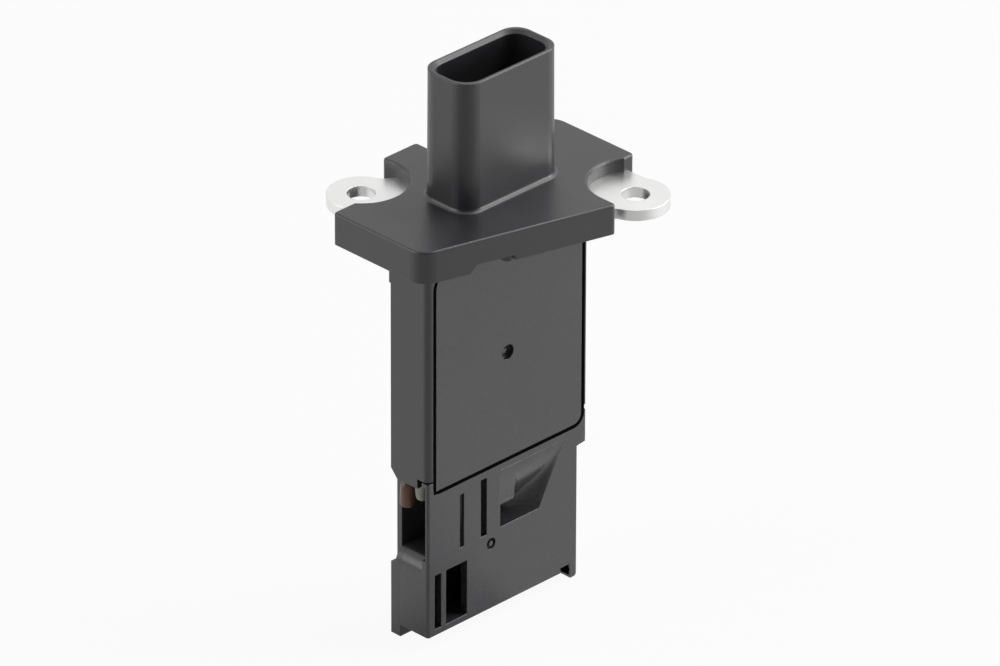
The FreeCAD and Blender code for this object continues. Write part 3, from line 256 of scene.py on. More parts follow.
def new_group(name, inputs, outputs):
    """The tree of an empty shader group, the sockets of what it is given, and its output node."""
    tree = bpy.data.node_groups.new(name, "ShaderNodeTree")
    for direction, sockets in (("INPUT", inputs), ("OUTPUT", outputs)):
        for socket_name, kind, default in sockets:
            socket = tree.interface.new_socket(socket_name, in_out=direction,
                                               socket_type=f"NodeSocket{kind}")
            if default is not None:
                socket.default_value = default
    return tree, tree.nodes.new("NodeGroupInput").outputs, tree.nodes.new("NodeGroupOutput")


def moulded_grain_group():
    """Fine mould texture, slow colour drift and faint flow streaks, in the object's own place."""
    tree, given, wanted = new_group(
        "Moulded grain",
        [("Place", "Vector", None), ("Colour", "Color", (0.03, 0.03, 0.03, 1.0)),
         ("Grain", "Float", 0.00016), ("Drift", "Float", 0.2), ("Roughness", "Float", 0.4),
         ("Streaks", "Float", 0.3)],
        [("Colour", "Color", None), ("Roughness", "Float", None), ("Height", "Float", None)])
    fine = noise(tree, given["Place"], math_node(tree, "DIVIDE", 1.0, given["Grain"]), 2.0, 0.6)
    slow = noise(tree, given["Place"], 90.0, 4.0, 0.55)
    stretched = add_node(tree, "ShaderNodeMapping", Vector=given["Place"], Scale=(1.0, 1.0, 0.12))
    flow = noise(tree, stretched.outputs[0], 1400.0, 3.0, 0.7)
    drift = math_node(tree, "SUBTRACT", slow, 0.5)
    streak = math_node(tree, "MULTIPLY", math_node(tree, "SUBTRACT", flow, 0.5), given["Streaks"])
    shade = math_node(tree, "ADD", math_node(tree, "MULTIPLY", drift, given["Drift"]), streak)
    toned = tree.nodes.new("ShaderNodeVectorMath")
    toned.operation = "SCALE"
    feed_all(tree, toned, Vector=given["Colour"], Scale=math_node(tree, "ADD", 1.0, shade))
    speckle = math_node(tree, "MULTIPLY", math_node(tree, "SUBTRACT", fine, 0.5), 0.15)
    uneven = math_node(tree, "ADD", speckle, math_node(tree, "MULTIPLY", drift, 0.2))
    feed_all(tree, wanted, Colour=toned.outputs[0],
             Roughness=math_node(tree, "ADD", given["Roughness"], uneven),
             Height=math_node(tree, "ADD", fine, math_node(tree, "MULTIPLY", streak, 0.1)))
    return tree


def edge_wear_and_highlight_group():
    """Mask of the edges that hands and the mould have rounded, broken up so that it isn't a drawn line: it
    is both polish from handling and a painted highlight along the edges.
    """
    tree, given, wanted = new_group(
        "Edge wear",
        [("Rounded", "Vector", None), ("Place", "Vector", None), ("Amount", "Float", 0.5)],
        [("Mask", "Float", None)])
    flat = tree.nodes.new("ShaderNodeNewGeometry").outputs["True Normal"]
    turned = math_node(tree, "SUBTRACT", 1.0, dot_product(tree, given["Rounded"], flat))
    edge = ramp_node(tree, turned, [(0.02, 0.0), (0.22, 1.0)])
    broken = ramp_node(tree, noise(tree, given["Place"], 700.0, 5.0, 0.65), [(0.3, 0.35), (0.65, 1.0)])
    feed_all(tree, wanted,
             Mask=math_node(tree, "MULTIPLY", math_node(tree, "MULTIPLY", edge, broken), given["Amount"]))
    return tree


def handling_group():
    """Soft smudges and hair scratches from handling."""
    tree, given, wanted = new_group(
        "Handling marks",
        [("Place", "Vector", None), ("Amount", "Float", 0.1)],
        [("Roughness shift", "Float", None), ("Scratches", "Float", None)])
    smudge = math_node(tree, "SUBTRACT", noise(tree, given["Place"], 160.0, 5.0, 0.6, 0.8), 0.5)
    turned = add_node(tree, "ShaderNodeMapping", Vector=given["Place"], Rotation=(0.4, 0.7, 0.9),
                      Scale=(1.0, 0.03, 1.0))
    lines = ramp_node(tree, noise(tree, turned.outputs[0], 2600.0, 2.0), [(0.67, 0.0), (0.72, 1.0)])
    feed_all(tree, wanted, Roughness_shift=math_node(tree, "MULTIPLY", smudge, given["Amount"]),
             Scratches=math_node(tree, "MULTIPLY", lines, given["Amount"]))
    return tree


GROUP_MAKERS = {"Moulded grain": moulded_grain_group, "Edge wear": edge_wear_and_highlight_group,
                "Handling marks": handling_group}


def shared(tree, name, **sockets):
    """The outputs of a node that places one of the shared groups, built on first use."""
    made = tree.nodes.new("ShaderNodeGroup")
    made.node_tree = bpy.data.node_groups.get(name) or GROUP_MAKERS[name]()
    feed_all(tree, made, **sockets)
    return made.outputs


def new_material(name):
    """A material with only its shader and output, with the object's own coordinates."""
    material = bpy.data.materials.new(name)
    material.use_nodes = True
    tree = material.node_tree
    place = tree.nodes.new("ShaderNodeTexCoord").outputs["Object"]
    return material, tree, tree.nodes["Principled BSDF"], place


def bumped(tree, height, strength, distance, **normal):
    """The normal that a height gives to a flat surface, or to one whose own normal is given."""
    return add_node(tree, "ShaderNodeBump", Height=height, Strength=strength, Distance=distance,
                    **normal).outputs[0]


def rounded_normal(tree, radius):
    """The normal that edges rounded by a radius would have."""
    bevel = add_node(tree, "ShaderNodeBevel", Radius=radius)
    bevel.samples = 6
    return bevel.outputs[0]


def moulded_plastic(name, colour, roughness, drift=0.25):
    """Glass-filled moulding: fine grain, slow drift, edges both polished and lightened as a painted
    highlight, and light handling.
    """
    finish = bpy.context.scene.sensor_finish
    material, tree, shader, place = new_material(name)
    grain = shared(tree, "Moulded grain", Place=place, Colour=colour, Grain=finish.grain_size, Drift=drift,
                   Roughness=roughness, Streaks=0.2)
    rounded = rounded_normal(tree, finish.edge_round)
    worn_and_highlit = shared(tree, "Edge wear", Rounded=rounded, Place=place, Amount=finish.edge_wear_and_highlight)
    marks = shared(tree, "Handling marks", Place=place, Amount=0.05)
    # Painted highlight: the edges' colour is lifted toward a lighter grey.
    lifted_highlight = [min(1.0, channel * 2.2 + 0.012) for channel in colour]
    rough = math_node(tree, "ADD", grain["Roughness"], marks["Roughness shift"])
    rough = math_node(tree, "SUBTRACT", rough, math_node(tree, "MULTIPLY", worn_and_highlit["Mask"], 0.15))
    height = math_node(tree, "SUBTRACT", grain["Height"], marks["Scratches"])
    feed_all(tree, shader, Base_Color=mix_colours(tree, worn_and_highlit["Mask"], grain["Colour"], lifted_highlight),
             Roughness=math_node(tree, "MAXIMUM", rough, 0.12), Specular_IOR_Level=0.7,
             Normal=bumped(tree, height, 0.5, 0.000004, Normal=rounded))
    return material


def plated_metal(name, colour, roughness, brush=(1.0, 1.0, 1.0), drift=0.08):
    """Plated or rolled metal: directional grain, faint cloudiness and edges brightened as a painted
    highlight.
    """
    material, tree, shader, place = new_material(name)
    stretched = add_node(tree, "ShaderNodeMapping", Vector=place, Scale=brush).outputs[0]
    grain = shared(tree, "Moulded grain", Place=stretched, Colour=colour, Grain=0.00012, Drift=drift,
                   Roughness=roughness, Streaks=0.06)
    rounded = rounded_normal(tree, bpy.context.scene.sensor_finish.edge_round)
    worn_and_highlit = shared(tree, "Edge wear", Rounded=rounded, Place=place, Amount=0.5)
    marks = shared(tree, "Handling marks", Place=place, Amount=0.16)
    # Painted highlight: the edges' colour is a little brighter.
    bright_highlight = [min(1.0, channel * 1.08) for channel in colour]
    rough = math_node(tree, "ADD", grain["Roughness"], marks["Roughness shift"])
    height = math_node(tree, "SUBTRACT", grain["Height"], marks["Scratches"])
    feed_all(tree, shader, Base_Color=mix_colours(tree, worn_and_highlit["Mask"], grain["Colour"], bright_highlight),
             Roughness=math_node(tree, "MAXIMUM", rough, 0.08), Metallic=1.0,
             Normal=bumped(tree, height, 0.35, 0.000004, Normal=rounded))
    return material


def cured_resin(name, colour, roughness, coat=0.0, drift=0.3, pitting=0.4, gloss=0.5):
    """Resin, sealant or adhesive: soft uneven skin with small pits."""
    material, tree, shader, place = new_material(name)
    grain = shared(tree, "Moulded grain", Place=place, Colour=colour, Grain=0.0004, Drift=drift,
                   Roughness=roughness, Streaks=0.1)
    marks = shared(tree, "Handling marks", Place=place, Amount=0.1)
    pits = add_node(tree, "ShaderNodeTexVoronoi", Vector=place, Scale=1500.0)
    dots = ramp_node(tree, pits.outputs["Distance"], [(0.08, 0.0), (0.2, 1.0)])
    feed_all(tree, shader, Base_Color=grain["Colour"], Specular_IOR_Level=gloss, Coat_Weight=coat,
             Coat_Roughness=0.12,
             Roughness=math_node(tree, "ADD", grain["Roughness"], marks["Roughness shift"]),
             Normal=bumped(tree, math_node(tree, "ADD", grain["Height"], dots), pitting, 0.00002))
    return material


def fired_ceramic(name, colour):
    """Fired ceramic: pale, faintly speckled and a little translucent at its skin."""
    material, tree, shader, place = new_material(name)
    grain = shared(tree, "Moulded grain", Place=place, Colour=colour, Grain=0.00009, Drift=0.12,
                   Roughness=0.45, Streaks=0.0)
    specks = ramp_node(tree, noise(tree, place, 5200.0, 1.0), [(0.68, 0.0), (0.74, 0.6)])
    dark = [channel * 0.7 for channel in colour]
    feed_all(tree, shader, Base_Color=mix_colours(tree, specks, grain["Colour"], dark),
             Roughness=grain["Roughness"], Normal=bumped(tree, grain["Height"], 0.3, 0.000005),
             Subsurface_Weight=0.06, Subsurface_Radius=(0.0004, 0.0004, 0.0003))
    return material


def soft_gel(name):
    """Clear silicone gel with a faint haze and tiny bubbles in its skin."""
    material, tree, shader, place = new_material(name)
    haze = shared(tree, "Moulded grain", Place=place, Colour=(0.86, 0.9, 0.9), Grain=0.0012, Drift=0.05,
                  Roughness=0.09, Streaks=0.0)
    bubbles = add_node(tree, "ShaderNodeTexVoronoi", Vector=place, Scale=420.0)
    rings = ramp_node(tree, bubbles.outputs["Distance"], [(0.05, 1.0), (0.09, 0.0)])
    feed_all(tree, shader, Base_Color=haze["Colour"], Roughness=haze["Roughness"], Transmission_Weight=0.92,
             IOR=1.41, Normal=bumped(tree, math_node(tree, "ADD", haze["Height"], rings), 0.25, 0.00003))
    return material


def element_glass(name):
    """Polished thin-film chip: dark, glossy, with a slow interference tint."""
    material, tree, shader, place = new_material(name)
    tint = ramp_node(tree, noise(tree, place, 260.0, 1.0),
                     [(0.3, (0.05, 0.09, 0.12)), (0.5, (0.08, 0.1, 0.07)), (0.7, (0.1, 0.06, 0.1))])
    marks = shared(tree, "Handling marks", Place=place, Amount=0.05)
    feed_all(tree, shader, Base_Color=tint, Coat_Weight=0.6,
             Roughness=math_node(tree, "ADD", 0.12, marks["Roughness shift"]))
    return material


def named(prefix):
    """The CAD nodes whose names start with a prefix, in order."""
    return sorted(name for name in NODES if name.startswith(prefix))


def paint(material, *names):
    """Give CAD nodes a material in place of the one they were packed with."""
    for name in names:
        mesh = NODES[name].data
        mesh.materials.clear()
        mesh.materials.append(material)


def mesh_object(name, bm, material):
    """A new object in the scene from a bmesh, with one material."""
    mesh = bpy.data.meshes.new(name)
    bm.to_mesh(mesh)
    bm.free()
    mesh.materials.append(material)
    made = bpy.data.objects.new(name, mesh)
    bpy.context.scene.collection.objects.link(made)
    return made


def new_piece(name, bm, material, smooth=True):
    """A finished piece from a bmesh, riding on the sensor."""
    bmesh.ops.recalc_face_normals(bm, faces=bm.faces)
    made = mesh_object(name, bm, material)
    for polygon in made.data.polygons:
        polygon.use_smooth = smooth
    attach(made, "root")
    return made


def soften(piece):
    """Round a piece's facets off."""
    skin = piece.modifiers.new("Smooth skin", "SUBSURF")
    skin.levels = skin.render_levels = 2


def join_rings(bm, rings):
    """The skin between each closed ring of vertices and the next."""
    for low, high in zip(rings, rings[1:]):
        for step in range(len(low)):
            following = (step + 1) % len(low)
            bm.faces.new((low[step], low[following], high[following], high[step]))


def add_tube(bm, points, radii, sides):
    """A closed skin round a path, with a radius at each point."""
    rings = []
    for number, (point, radius) in enumerate(zip(points, radii)):
        before = points[max(number - 1, 0)]
        after = points[min(number + 1, len(points) - 1)]
        along = (after - before).normalized()
        side = along.orthogonal() if number == 0 else side - along * side.dot(along)
        side.normalize()
        across = along.cross(side)
        rings.append([bm.verts.new(point + (side * math.cos(turn) + across * math.sin(turn)) * radius)
                      for turn in (2 * math.pi * step / sides for step in range(sides))])
    join_rings(bm, rings)
    for ring in (rings[0], rings[-1]):
        bm.faces.new(ring)


def add_turned(bm, root, along, radius, shape, sides):
    """A round form from its root, given (share of its length, share of its radius) pairs."""
    points = [root + along * place for place, _ in shape]
    add_tube(bm, points, [radius * share for _, share in shape], sides)


def add_wire(bm, start, end, rise, radius, sides=8, steps=12):
    """A bonded wire that leaves both its ends at right angles to the board."""
    path = [start.lerp(end, step / steps) + Vector((0, -rise * math.sin(math.pi * step / steps) ** 0.7, 0))
            for step in range(steps + 1)]
    add_tube(bm, path, [radius] * len(path), sides)


def front_outline(name):
    """The outer edge of a node's front face, in order, as points in X and Z a millimetre apart at most."""
    bm = bmesh.new()
    bm.from_mesh(NODES[name].data)
    bm.transform(NODES[name].matrix_world)
    bmesh.ops.remove_doubles(bm, verts=bm.verts, dist=1e-6)
    front = min(vertex.co.y for vertex in bm.verts)
    level = {face for face in bm.faces if all(abs(vertex.co.y - front) < 1e-6 for vertex in face.verts)}
    rim = {edge for edge in bm.edges if sum(face in level for face in edge.link_faces) == 1}
    vertex = min((end for edge in rim for end in edge.verts), key=lambda end: end.co.x)
    loop = []
    while vertex not in loop:
        loop.append(vertex)
        vertex = next((edge.other_vert(vertex) for edge in vertex.link_edges
                       if edge in rim and edge.other_vert(vertex) not in loop), vertex)
    corners = [Vector((vertex.co.x, vertex.co.z)) for vertex in loop]
    bm.free()
    points = []
    for corner, following in zip(corners, corners[1:] + corners[:1]):
        steps = math.ceil((following - corner).length / MM)
        points += [corner.lerp(following, step / steps) for step in range(steps)]
    return points


def add_shade_filler(bm, outline, width, front, back, waver):
    """Black sealant that fills the groove outside a closed outline and is smeared a little over both its
    rims: painted shade, which makes the groove as dark as its shade.
    """
    middle = sum(outline, Vector((0, 0))) / len(outline)
    count = len(outline)
    rings = []
    for number, point in enumerate(outline):
        along = (outline[(number + 1) % count] - outline[number - 1]).normalized()
        out = Vector((along.y, -along.x))
        if out.dot(point - middle) < 0:
            out = -out
        smear = 0.2 + 0.03 * math.sin(number * 0.9) * math.cos(number * 0.37)
        section = ((0.02, back), (0.02, front), (-smear, front), (-smear, front - waver),
                   (0.5, front - waver * 1.3), (1 + smear, front - waver), (1 + smear, front),
                   (0.98, front), (0.98, back))
        rings.append([])
        for share, level in section:
            spot = point + out * (width * share)
            rings[-1].append(bm.verts.new((spot.x, level, spot.y)))
    join_rings(bm, rings + rings[:1])


def depth_finder(name, open_depth):
    """A function that gives how far a node's surface lies behind its front face at a place in X and Z."""
    surface = BVHTree.FromObject(NODES[name], bpy.context.evaluated_depsgraph_get())
    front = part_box(name)[0].y

    def depth(across, up):
        hit = surface.ray_cast(Vector((across, front - MM, up)), Vector((0, 1, 0)))[0]
        return hit.y - front if hit else open_depth
    return depth


def add_slab(bm, rows, front, back):
    """A closed slab over rows of places in X and Z, between two surfaces that give each place a depth."""
    layers = [[[bm.verts.new((spot.x, PROBE_FRONT + side(spot), spot.y)) for spot in row] for row in rows]
              for side in (front, back)]
    tall, wide = len(rows), len(rows[0])
    for layer in layers:
        for row, below in zip(layer, layer[1:]):
            for step in range(wide - 1):
                bm.faces.new((row[step], row[step + 1], below[step + 1], below[step]))
    rim = [(0, step) for step in range(wide)] + [(row, wide - 1) for row in range(1, tall)]
    rim += [(tall - 1, step) for step in range(wide - 2, -1, -1)]
    rim += [(row, 0) for row in range(tall - 2, 0, -1)]
    join_rings(bm, [[layer[row][step] for row, step in rim] for layer in layers])


def add_track(bm, points, width, level, height):
    """A flat printed conductor on the board's front, mitred at its corners."""
    left, right = [], []
    for number, point in enumerate(points):
        before = point - points[number - 1] if number else points[1] - point
        after = points[number + 1] - point if number + 1 < len(points) else before
        normals = [Vector((-step.y, step.x)).normalized() for step in (before, after)]
        middle = (normals[0] + normals[1]).normalized()
        reach = width / 2 / max(0.4, middle.dot(normals[0]))
        left.append(point + middle * reach)
        right.append(point - middle * reach)
    base, top = ([bm.verts.new((spot.x, depth, spot.y)) for spot in left + right[::-1]]
                 for depth in (level, level - height))
    count = len(points)
    for number in range(count - 1):
        mirror = 2 * count - 1 - number
        for ring in (base, top):
            bm.faces.new((ring[number], ring[number + 1], ring[mirror - 1], ring[mirror]))
    join_rings(bm, [base, top])


def add_wrap(bm, low, high, bulge):
    """A rounded metal cap round the end of a chip component."""
    result = bmesh.ops.create_cube(bm, size=1.0)
    middle, size = (low + high) / 2, high - low
    for vertex in result["verts"]:
        vertex.co = middle + Vector(part * (extent + bulge) for part, extent in zip(vertex.co, size))
    edges = {edge for vertex in result["verts"] for edge in vertex.link_edges}
    bmesh.ops.bevel(bm, geom=list(edges), offset=min(size) * 0.12, segments=2, affect="EDGES")


class DressHousing(bpy.types.Operator):
    """Finish the moulded housing"""

    bl_idname = "airflow.dress_housing"
    bl_label = "Dress housing"

    def execute(self, context):
        finish = context.scene.sensor_finish
        paint(moulded_plastic("Housing moulding", finish.housing_colour, 0.36), "main_housing")
        return {"FINISHED"}


class DressCovers(bpy.types.Operator):
    """Finish the circuit cover and the bypass shell"""

    bl_idname = "airflow.dress_covers"
    bl_label = "Dress covers"

    def execute(self, context):
        finish = context.scene.sensor_finish
        paint(moulded_plastic("Cover moulding", finish.cover_colour, 0.28, drift=0.18), "circuit_cover")
        paint(moulded_plastic("Bypass moulding", finish.cover_colour, 0.27, drift=0.22), "bypass_cover")
        return {"FINISHED"}


class DressPlate(bpy.types.Operator):
    """Finish the stamped plate with its two ears"""

    bl_idname = "airflow.dress_plate"
    bl_label = "Dress ears"

    def execute(self, context):
        colour = context.scene.sensor_finish.plate_colour
        paint(plated_metal("Ear plating", colour, 0.34, brush=(1.0, 0.2, 1.0)), "mounting_plate")
        return {"FINISHED"}


class DressTerminals(bpy.types.Operator):
    """Finish the contact strips and the bonded ribbons"""

    bl_idname = "airflow.dress_terminals"
    bl_label = "Dress terminals"

    def execute(self, context):
        paint(plated_metal("Contact plating", (0.74, 0.72, 0.66), 0.28, brush=(1.0, 1.0, 0.15)),
              *named("terminal_"))
        paint(plated_metal("Ribbon metal", (0.88, 0.88, 0.89), 0.2), *named("jumper_ribbon_"))
        return {"FINISHED"}


class DressThermistor(bpy.types.Operator):
    """Coat the bead, tin its wires and seal where they enter the moulding"""

    bl_idname = "airflow.dress_thermistor"
    bl_label = "Dress thermistor"

    def execute(self, context):
        self.coat_bead(context)
        self.collar_leads()
        self.pot_leads()
        return {"FINISHED"}

    def coat_bead(self, context):
        """Dipped resin over the bead, a little uneven, with a neck that climbs the wires."""
        low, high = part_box("thermistor")
        middle, radius, length = (low + high) / 2, (high.x - low.x) / 2, high.z - low.z
        neck = 1.0 + context.scene.sensor_detail.bead_neck / length
        shape = [(0.0, 0.05), (0.002, 0.6), (0.012, 0.88), (0.04, 0.97), (0.1, 1.0), (0.4, 0.985),
                 (0.62, 0.96), (0.8, 0.93), (0.88, 0.84), (0.94, 0.72), (1.0, 0.62), (neck, 0.56)]
        bm = bmesh.new()
        add_turned(bm, Vector((middle.x, middle.y, low.z)), Vector((0, 0, length)), radius, shape, 24)
        for vertex in bm.verts:
            turn = math.atan2(vertex.co.y - middle.y, vertex.co.x - middle.x)
            sag = 1 + 0.025 * math.sin(3 * turn + vertex.co.z * 900)
            sag += 0.015 * math.sin(5 * turn - vertex.co.z * 1700)
            vertex.co.x = middle.x + (vertex.co.x - middle.x) * sag
            vertex.co.y = middle.y + (vertex.co.y - middle.y) * sag
        colour = context.scene.sensor_finish.bead_colour
        resin = cured_resin("Bead resin", colour, 0.45, coat=0.1, pitting=0.15)
        coat = new_piece("bead_coat", bm, resin)
        soften(coat)
        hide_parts("thermistor")

    def collar_leads(self):
        """Tinned wires, with a collar of sealant where each enters the moulding."""
        leads = ("thermistor_lead_outer", "thermistor_lead_inner")
        paint(plated_metal("Tinned wire", (0.7, 0.72, 0.64), 0.3), *leads)
        collar = [(0.0, 2.3), (0.2, 1.9), (0.4, 1.5), (0.7, 1.2), (1.0, 1.05)]
        bm = bmesh.new()
        for name in leads:
            start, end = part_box(name)
            thick = (end.y - start.y) / 2
            root = Vector((start.x + thick, (start.y + end.y) / 2, MOUTH_ROOF))
            add_turned(bm, root, Vector((0, 0, -0.5 * MM)), thick, collar, 12)
        sealant = cured_resin("Lead sealant", (0.02, 0.02, 0.021), 0.35)
        new_piece("lead_collars", bm, sealant)

    def pot_leads(self):
        """Pale compound on the mouth's roof, in front of where the wires come out."""
        shape = [(-0.2, 0.95), (0.0, 1.0), (0.3, 1.0), (0.6, 0.99), (0.86, 0.96), (0.95, 0.84),
                 (0.99, 0.6), (1.0, 0.15)]
        top = Vector((*COMPOUND_SPOT, MOUTH_ROOF))
        bm = bmesh.new()
        add_turned(bm, top, Vector((0, 0, -COMPOUND_DROP)), COMPOUND_RADIUS, shape, 18)
        for vertex in bm.verts:
            turn = math.atan2(vertex.co.y - top.y, vertex.co.x - top.x)
            swell = 0.00008 * math.sin(2 * turn + vertex.co.z * 1800)
            vertex.co += Vector((math.cos(turn), math.sin(turn), 0)) * swell
        compound = cured_resin("Pale compound", (0.3, 0.31, 0.26), 0.5, drift=0.9, pitting=1.0)
        soften(new_piece("lead_compound", bm, compound))


class DressCircuit(bpy.types.Operator):
    """Finish the base, board and components, and print and bond what joins them"""

    bl_idname = "airflow.dress_circuit"
    bl_label = "Dress circuit"

    def execute(self, context):
        detail = context.scene.sensor_detail
        paint(plated_metal("Base sheet", (0.72, 0.72, 0.73), 0.38, brush=(0.1, 1.0, 1.0)), "base_plate")
        paint(fired_ceramic("Board ceramic", (0.8, 0.79, 0.74)), "circuit_board")
        paint(moulded_plastic("Chip package", (0.022, 0.022, 0.024), 0.5),
              "control_chip", *named("resistor_"))
        paint(fired_ceramic("Capacitor ceramic", (0.4, 0.27, 0.15)), *named("capacitor_"))
        self.print_tracks(detail)
        self.cap_ends()
        self.bond_chip(detail)
        return {"FINISHED"}

    def print_tracks(self, detail):
        """Printed conductors from the ribbons and components to the chip, and a frame round the board."""
        bm = bmesh.new()
        chip_low, chip_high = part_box("control_chip")
        # How far tracks run under the ribbons and the components, their slanted part, and the frame's inset.
        ribbon_lap, end_lap, slant, inset = 0.4 * MM, 0.2 * MM, 0.4 * MM, 0.9 * MM

        def track(points, share):
            add_track(bm, [Vector(point) for point in points], detail.track_width * share, BOARD_LOW.y,
                      detail.track_height)

        for number in range(CONTACTS):
            low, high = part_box(f"jumper_ribbon_{number + 1}")
            middle, start = (low.x + high.x) / 2, low.z + ribbon_lap
            goal = chip_low.x + (chip_high.x - chip_low.x) * (number + 0.5) / CONTACTS
            shelf = start - TRACK_GAP - TRACK_STEP * abs(number - 3)
            track([(middle, start), (middle, shelf), (goal, shelf - TRACK_STEP),
                   (goal, chip_high.z + TRACK_GAP)], 1.0)
        for names, row in ((named("capacitor_"), 0.0), (named("resistor_"), LANE_PITCH)):
            for number, name in enumerate(names):
                low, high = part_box(name)
                start, level = high.x - end_lap, (low.z + high.z) / 2
                goal = chip_low.z + CONTACT_PITCH * (number + 1) - row
                turn = chip_low.x - TRACK_GAP - MM - number * LANE_PITCH - row
                if start < turn:
                    track([(start, level), (turn, level), (turn + slant, goal),
                           (chip_low.x - TRACK_GAP, goal)], 0.7)
        left, right = BOARD_LOW.x + inset, BOARD_HIGH.x - inset
        bottom, top = BOARD_LOW.z + inset, BOARD_HIGH.z - inset
        track([(left, top), (left, bottom), (right, bottom), (right, top)], 1.4)
        new_piece("board_tracks", bm, plated_metal("Printed silver", (0.7, 0.68, 0.63), 0.42, drift=0.25),
                  smooth=False)

    def cap_ends(self):
        """Tinned caps on both ends of the small components, in X for capacitors and in Z for resistors."""
        bm = bmesh.new()
        for prefix, axis, width in (("capacitor_", 0, 0.4 * MM), ("resistor_", 2, 0.3 * MM)):
            for name in named(prefix):
                low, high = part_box(name)
                for start in (low[axis], high[axis] - width):
                    near, far = low.copy(), high.copy()
                    near[axis], far[axis] = start, start + width
                    add_wrap(bm, near, far, 0.03 * MM)
        new_piece("component_ends", bm, plated_metal("End tin", (0.72, 0.72, 0.7), 0.36))

    def bond_chip(self, detail):
        """Fine gold wires from the chip to the ends of the tracks."""
        low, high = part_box("control_chip")
        bm = bmesh.new()
        for number in range(CONTACTS):
            across = low.x + (high.x - low.x) * (number + 0.5) / CONTACTS
            add_wire(bm, Vector((across, low.y, high.z - 0.6 * MM)),
                     Vector((across, BOARD_LOW.y, high.z + 1.5 * MM)), 0.7 * MM, detail.bond_wire)
            up = low.z + CONTACT_PITCH * (number + 1)
            add_wire(bm, Vector((low.x + 0.6 * MM, low.y, up)), Vector((low.x - 1.5 * MM, BOARD_LOW.y, up)),
                     0.6 * MM, detail.bond_wire)
        new_piece("chip_bonds", bm, plated_metal("Bond gold", (0.9, 0.66, 0.28), 0.18))


class DressElement(bpy.types.Operator):
    """Finish the tongue and the film chip, with its membrane, heater line and bond wires"""

    bl_idname = "airflow.dress_element"
    bl_label = "Dress flow element"

    def execute(self, context):
        paint(moulded_plastic("Tongue resin", (0.5, 0.5, 0.47), 0.4, drift=0.1), "sensor_carrier")
        paint(element_glass("Film chip"), "flow_element")
        low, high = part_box("flow_element")
        self.print_heater(low, high)
        bm = bmesh.new()
        for number in range(4):
            across = low.x + (high.x - low.x) * (number + 0.5) / 4
            foot, head = (Vector((across, low.y, high.z + reach)) for reach in (-0.4 * MM, 0.4 * MM))
            add_wire(bm, foot, head, 0.3 * MM, context.scene.sensor_detail.bond_wire * 0.5, sides=6)
        new_piece("element_bonds", bm, plated_metal("Element gold", (0.9, 0.66, 0.28), 0.2))
        return {"FINISHED"}

    def print_heater(self, low, high):
        """The heater's folded line on the film chip, and the line round its membrane."""
        middle = Vector(((low.x + high.x) / 2, low.z + (high.z - low.z) * 0.35))
        half, edge, film, folds = 0.55 * MM, 0.8 * MM, 0.008 * MM, 5
        bm = bmesh.new()
        line = []
        for number in range(folds):
            across = half * (2 * number / (folds - 1) - 1)
            ends = (-half, half) if number % 2 == 0 else (half, -half)
            line += [middle + Vector((across, end)) for end in ends]
        add_track(bm, line, 0.08 * MM, low.y, film)
        corners = ((-edge, edge), (-edge, -edge), (edge, -edge), (edge, edge))
        add_track(bm, [middle + Vector(corner) for corner in corners], 0.1 * MM, low.y, film)
        new_piece("element_heater", bm, plated_metal("Film metal", (0.78, 0.74, 0.66), 0.25),
                  smooth=False)


class DressSeals(bpy.types.Operator):
    """Finish the sealants, adhesives and gel, and lay black sealant as painted shade in the cover's groove
    and on the wall of the foot's notch
    """

    bl_idname = "airflow.dress_seals"
    bl_label = "Dress seals"

    def execute(self, context):
        detail = context.scene.sensor_detail
        # One near black sealant without gloss, for the real seals and for the painted shade in the groove
        # and the foot's notch.
        sealant = cured_resin("Cured sealant", (0.004, 0.004, 0.004), 0.75, gloss=0.0)
        paint(sealant, "circuit_cover_seal", "carrier_seal")
        paint(cured_resin("Element cap", (0.012, 0.012, 0.013), 0.3, coat=0.3), "element_sealant")
        paint(cured_resin("Film adhesive", (0.28, 0.29, 0.3), 0.6), "base_adhesive", "board_adhesive")
        paint(soft_gel("Soft gel"), "protective_gel")
        # Painted shade: a black filler in the cover's groove.
        bm = bmesh.new()
        add_shade_filler(bm, front_outline("circuit_cover"), detail.groove_width, PROBE_FRONT,
                   COVER_BACK + 0.2 * MM, detail.shade_smear)
        new_piece("groove_sealant", bm, sealant)
        self.shade_foot_notch(detail, sealant)
        return {"FINISHED"}

    def shade_foot_notch(self, detail, sealant):
        """A black patch of sealant on the wall of the foot's notch: painted shade, which darkens the notch
        like a deep hollow.
        """
        wall, low, high = FOOT_NOTCH
        middle, half = (low + high) / 2, (high - low) / 2
        steps = 40
        bm = bmesh.new()
        base, top = [], []
        for step in range(steps):
            turn = 2 * math.pi * step / steps
            reach = 1 - 0.05 * math.sin(5 * turn) ** 2 - 0.03 * math.sin(3 * turn + 1)
            across, up = (max(-1.0, min(1.0, 1.35 * share(turn))) * reach for share in (math.cos, math.sin))
            for ring, out in ((base, wall), (top, wall - detail.shade_smear * 2)):
                ring.append(bm.verts.new((out, middle.x + across * half.x, middle.y + up * half.y)))
        bm.faces.new(base)
        bm.faces.new(top)
        join_rings(bm, [base, top])
        new_piece("foot_sealant", bm, sealant)


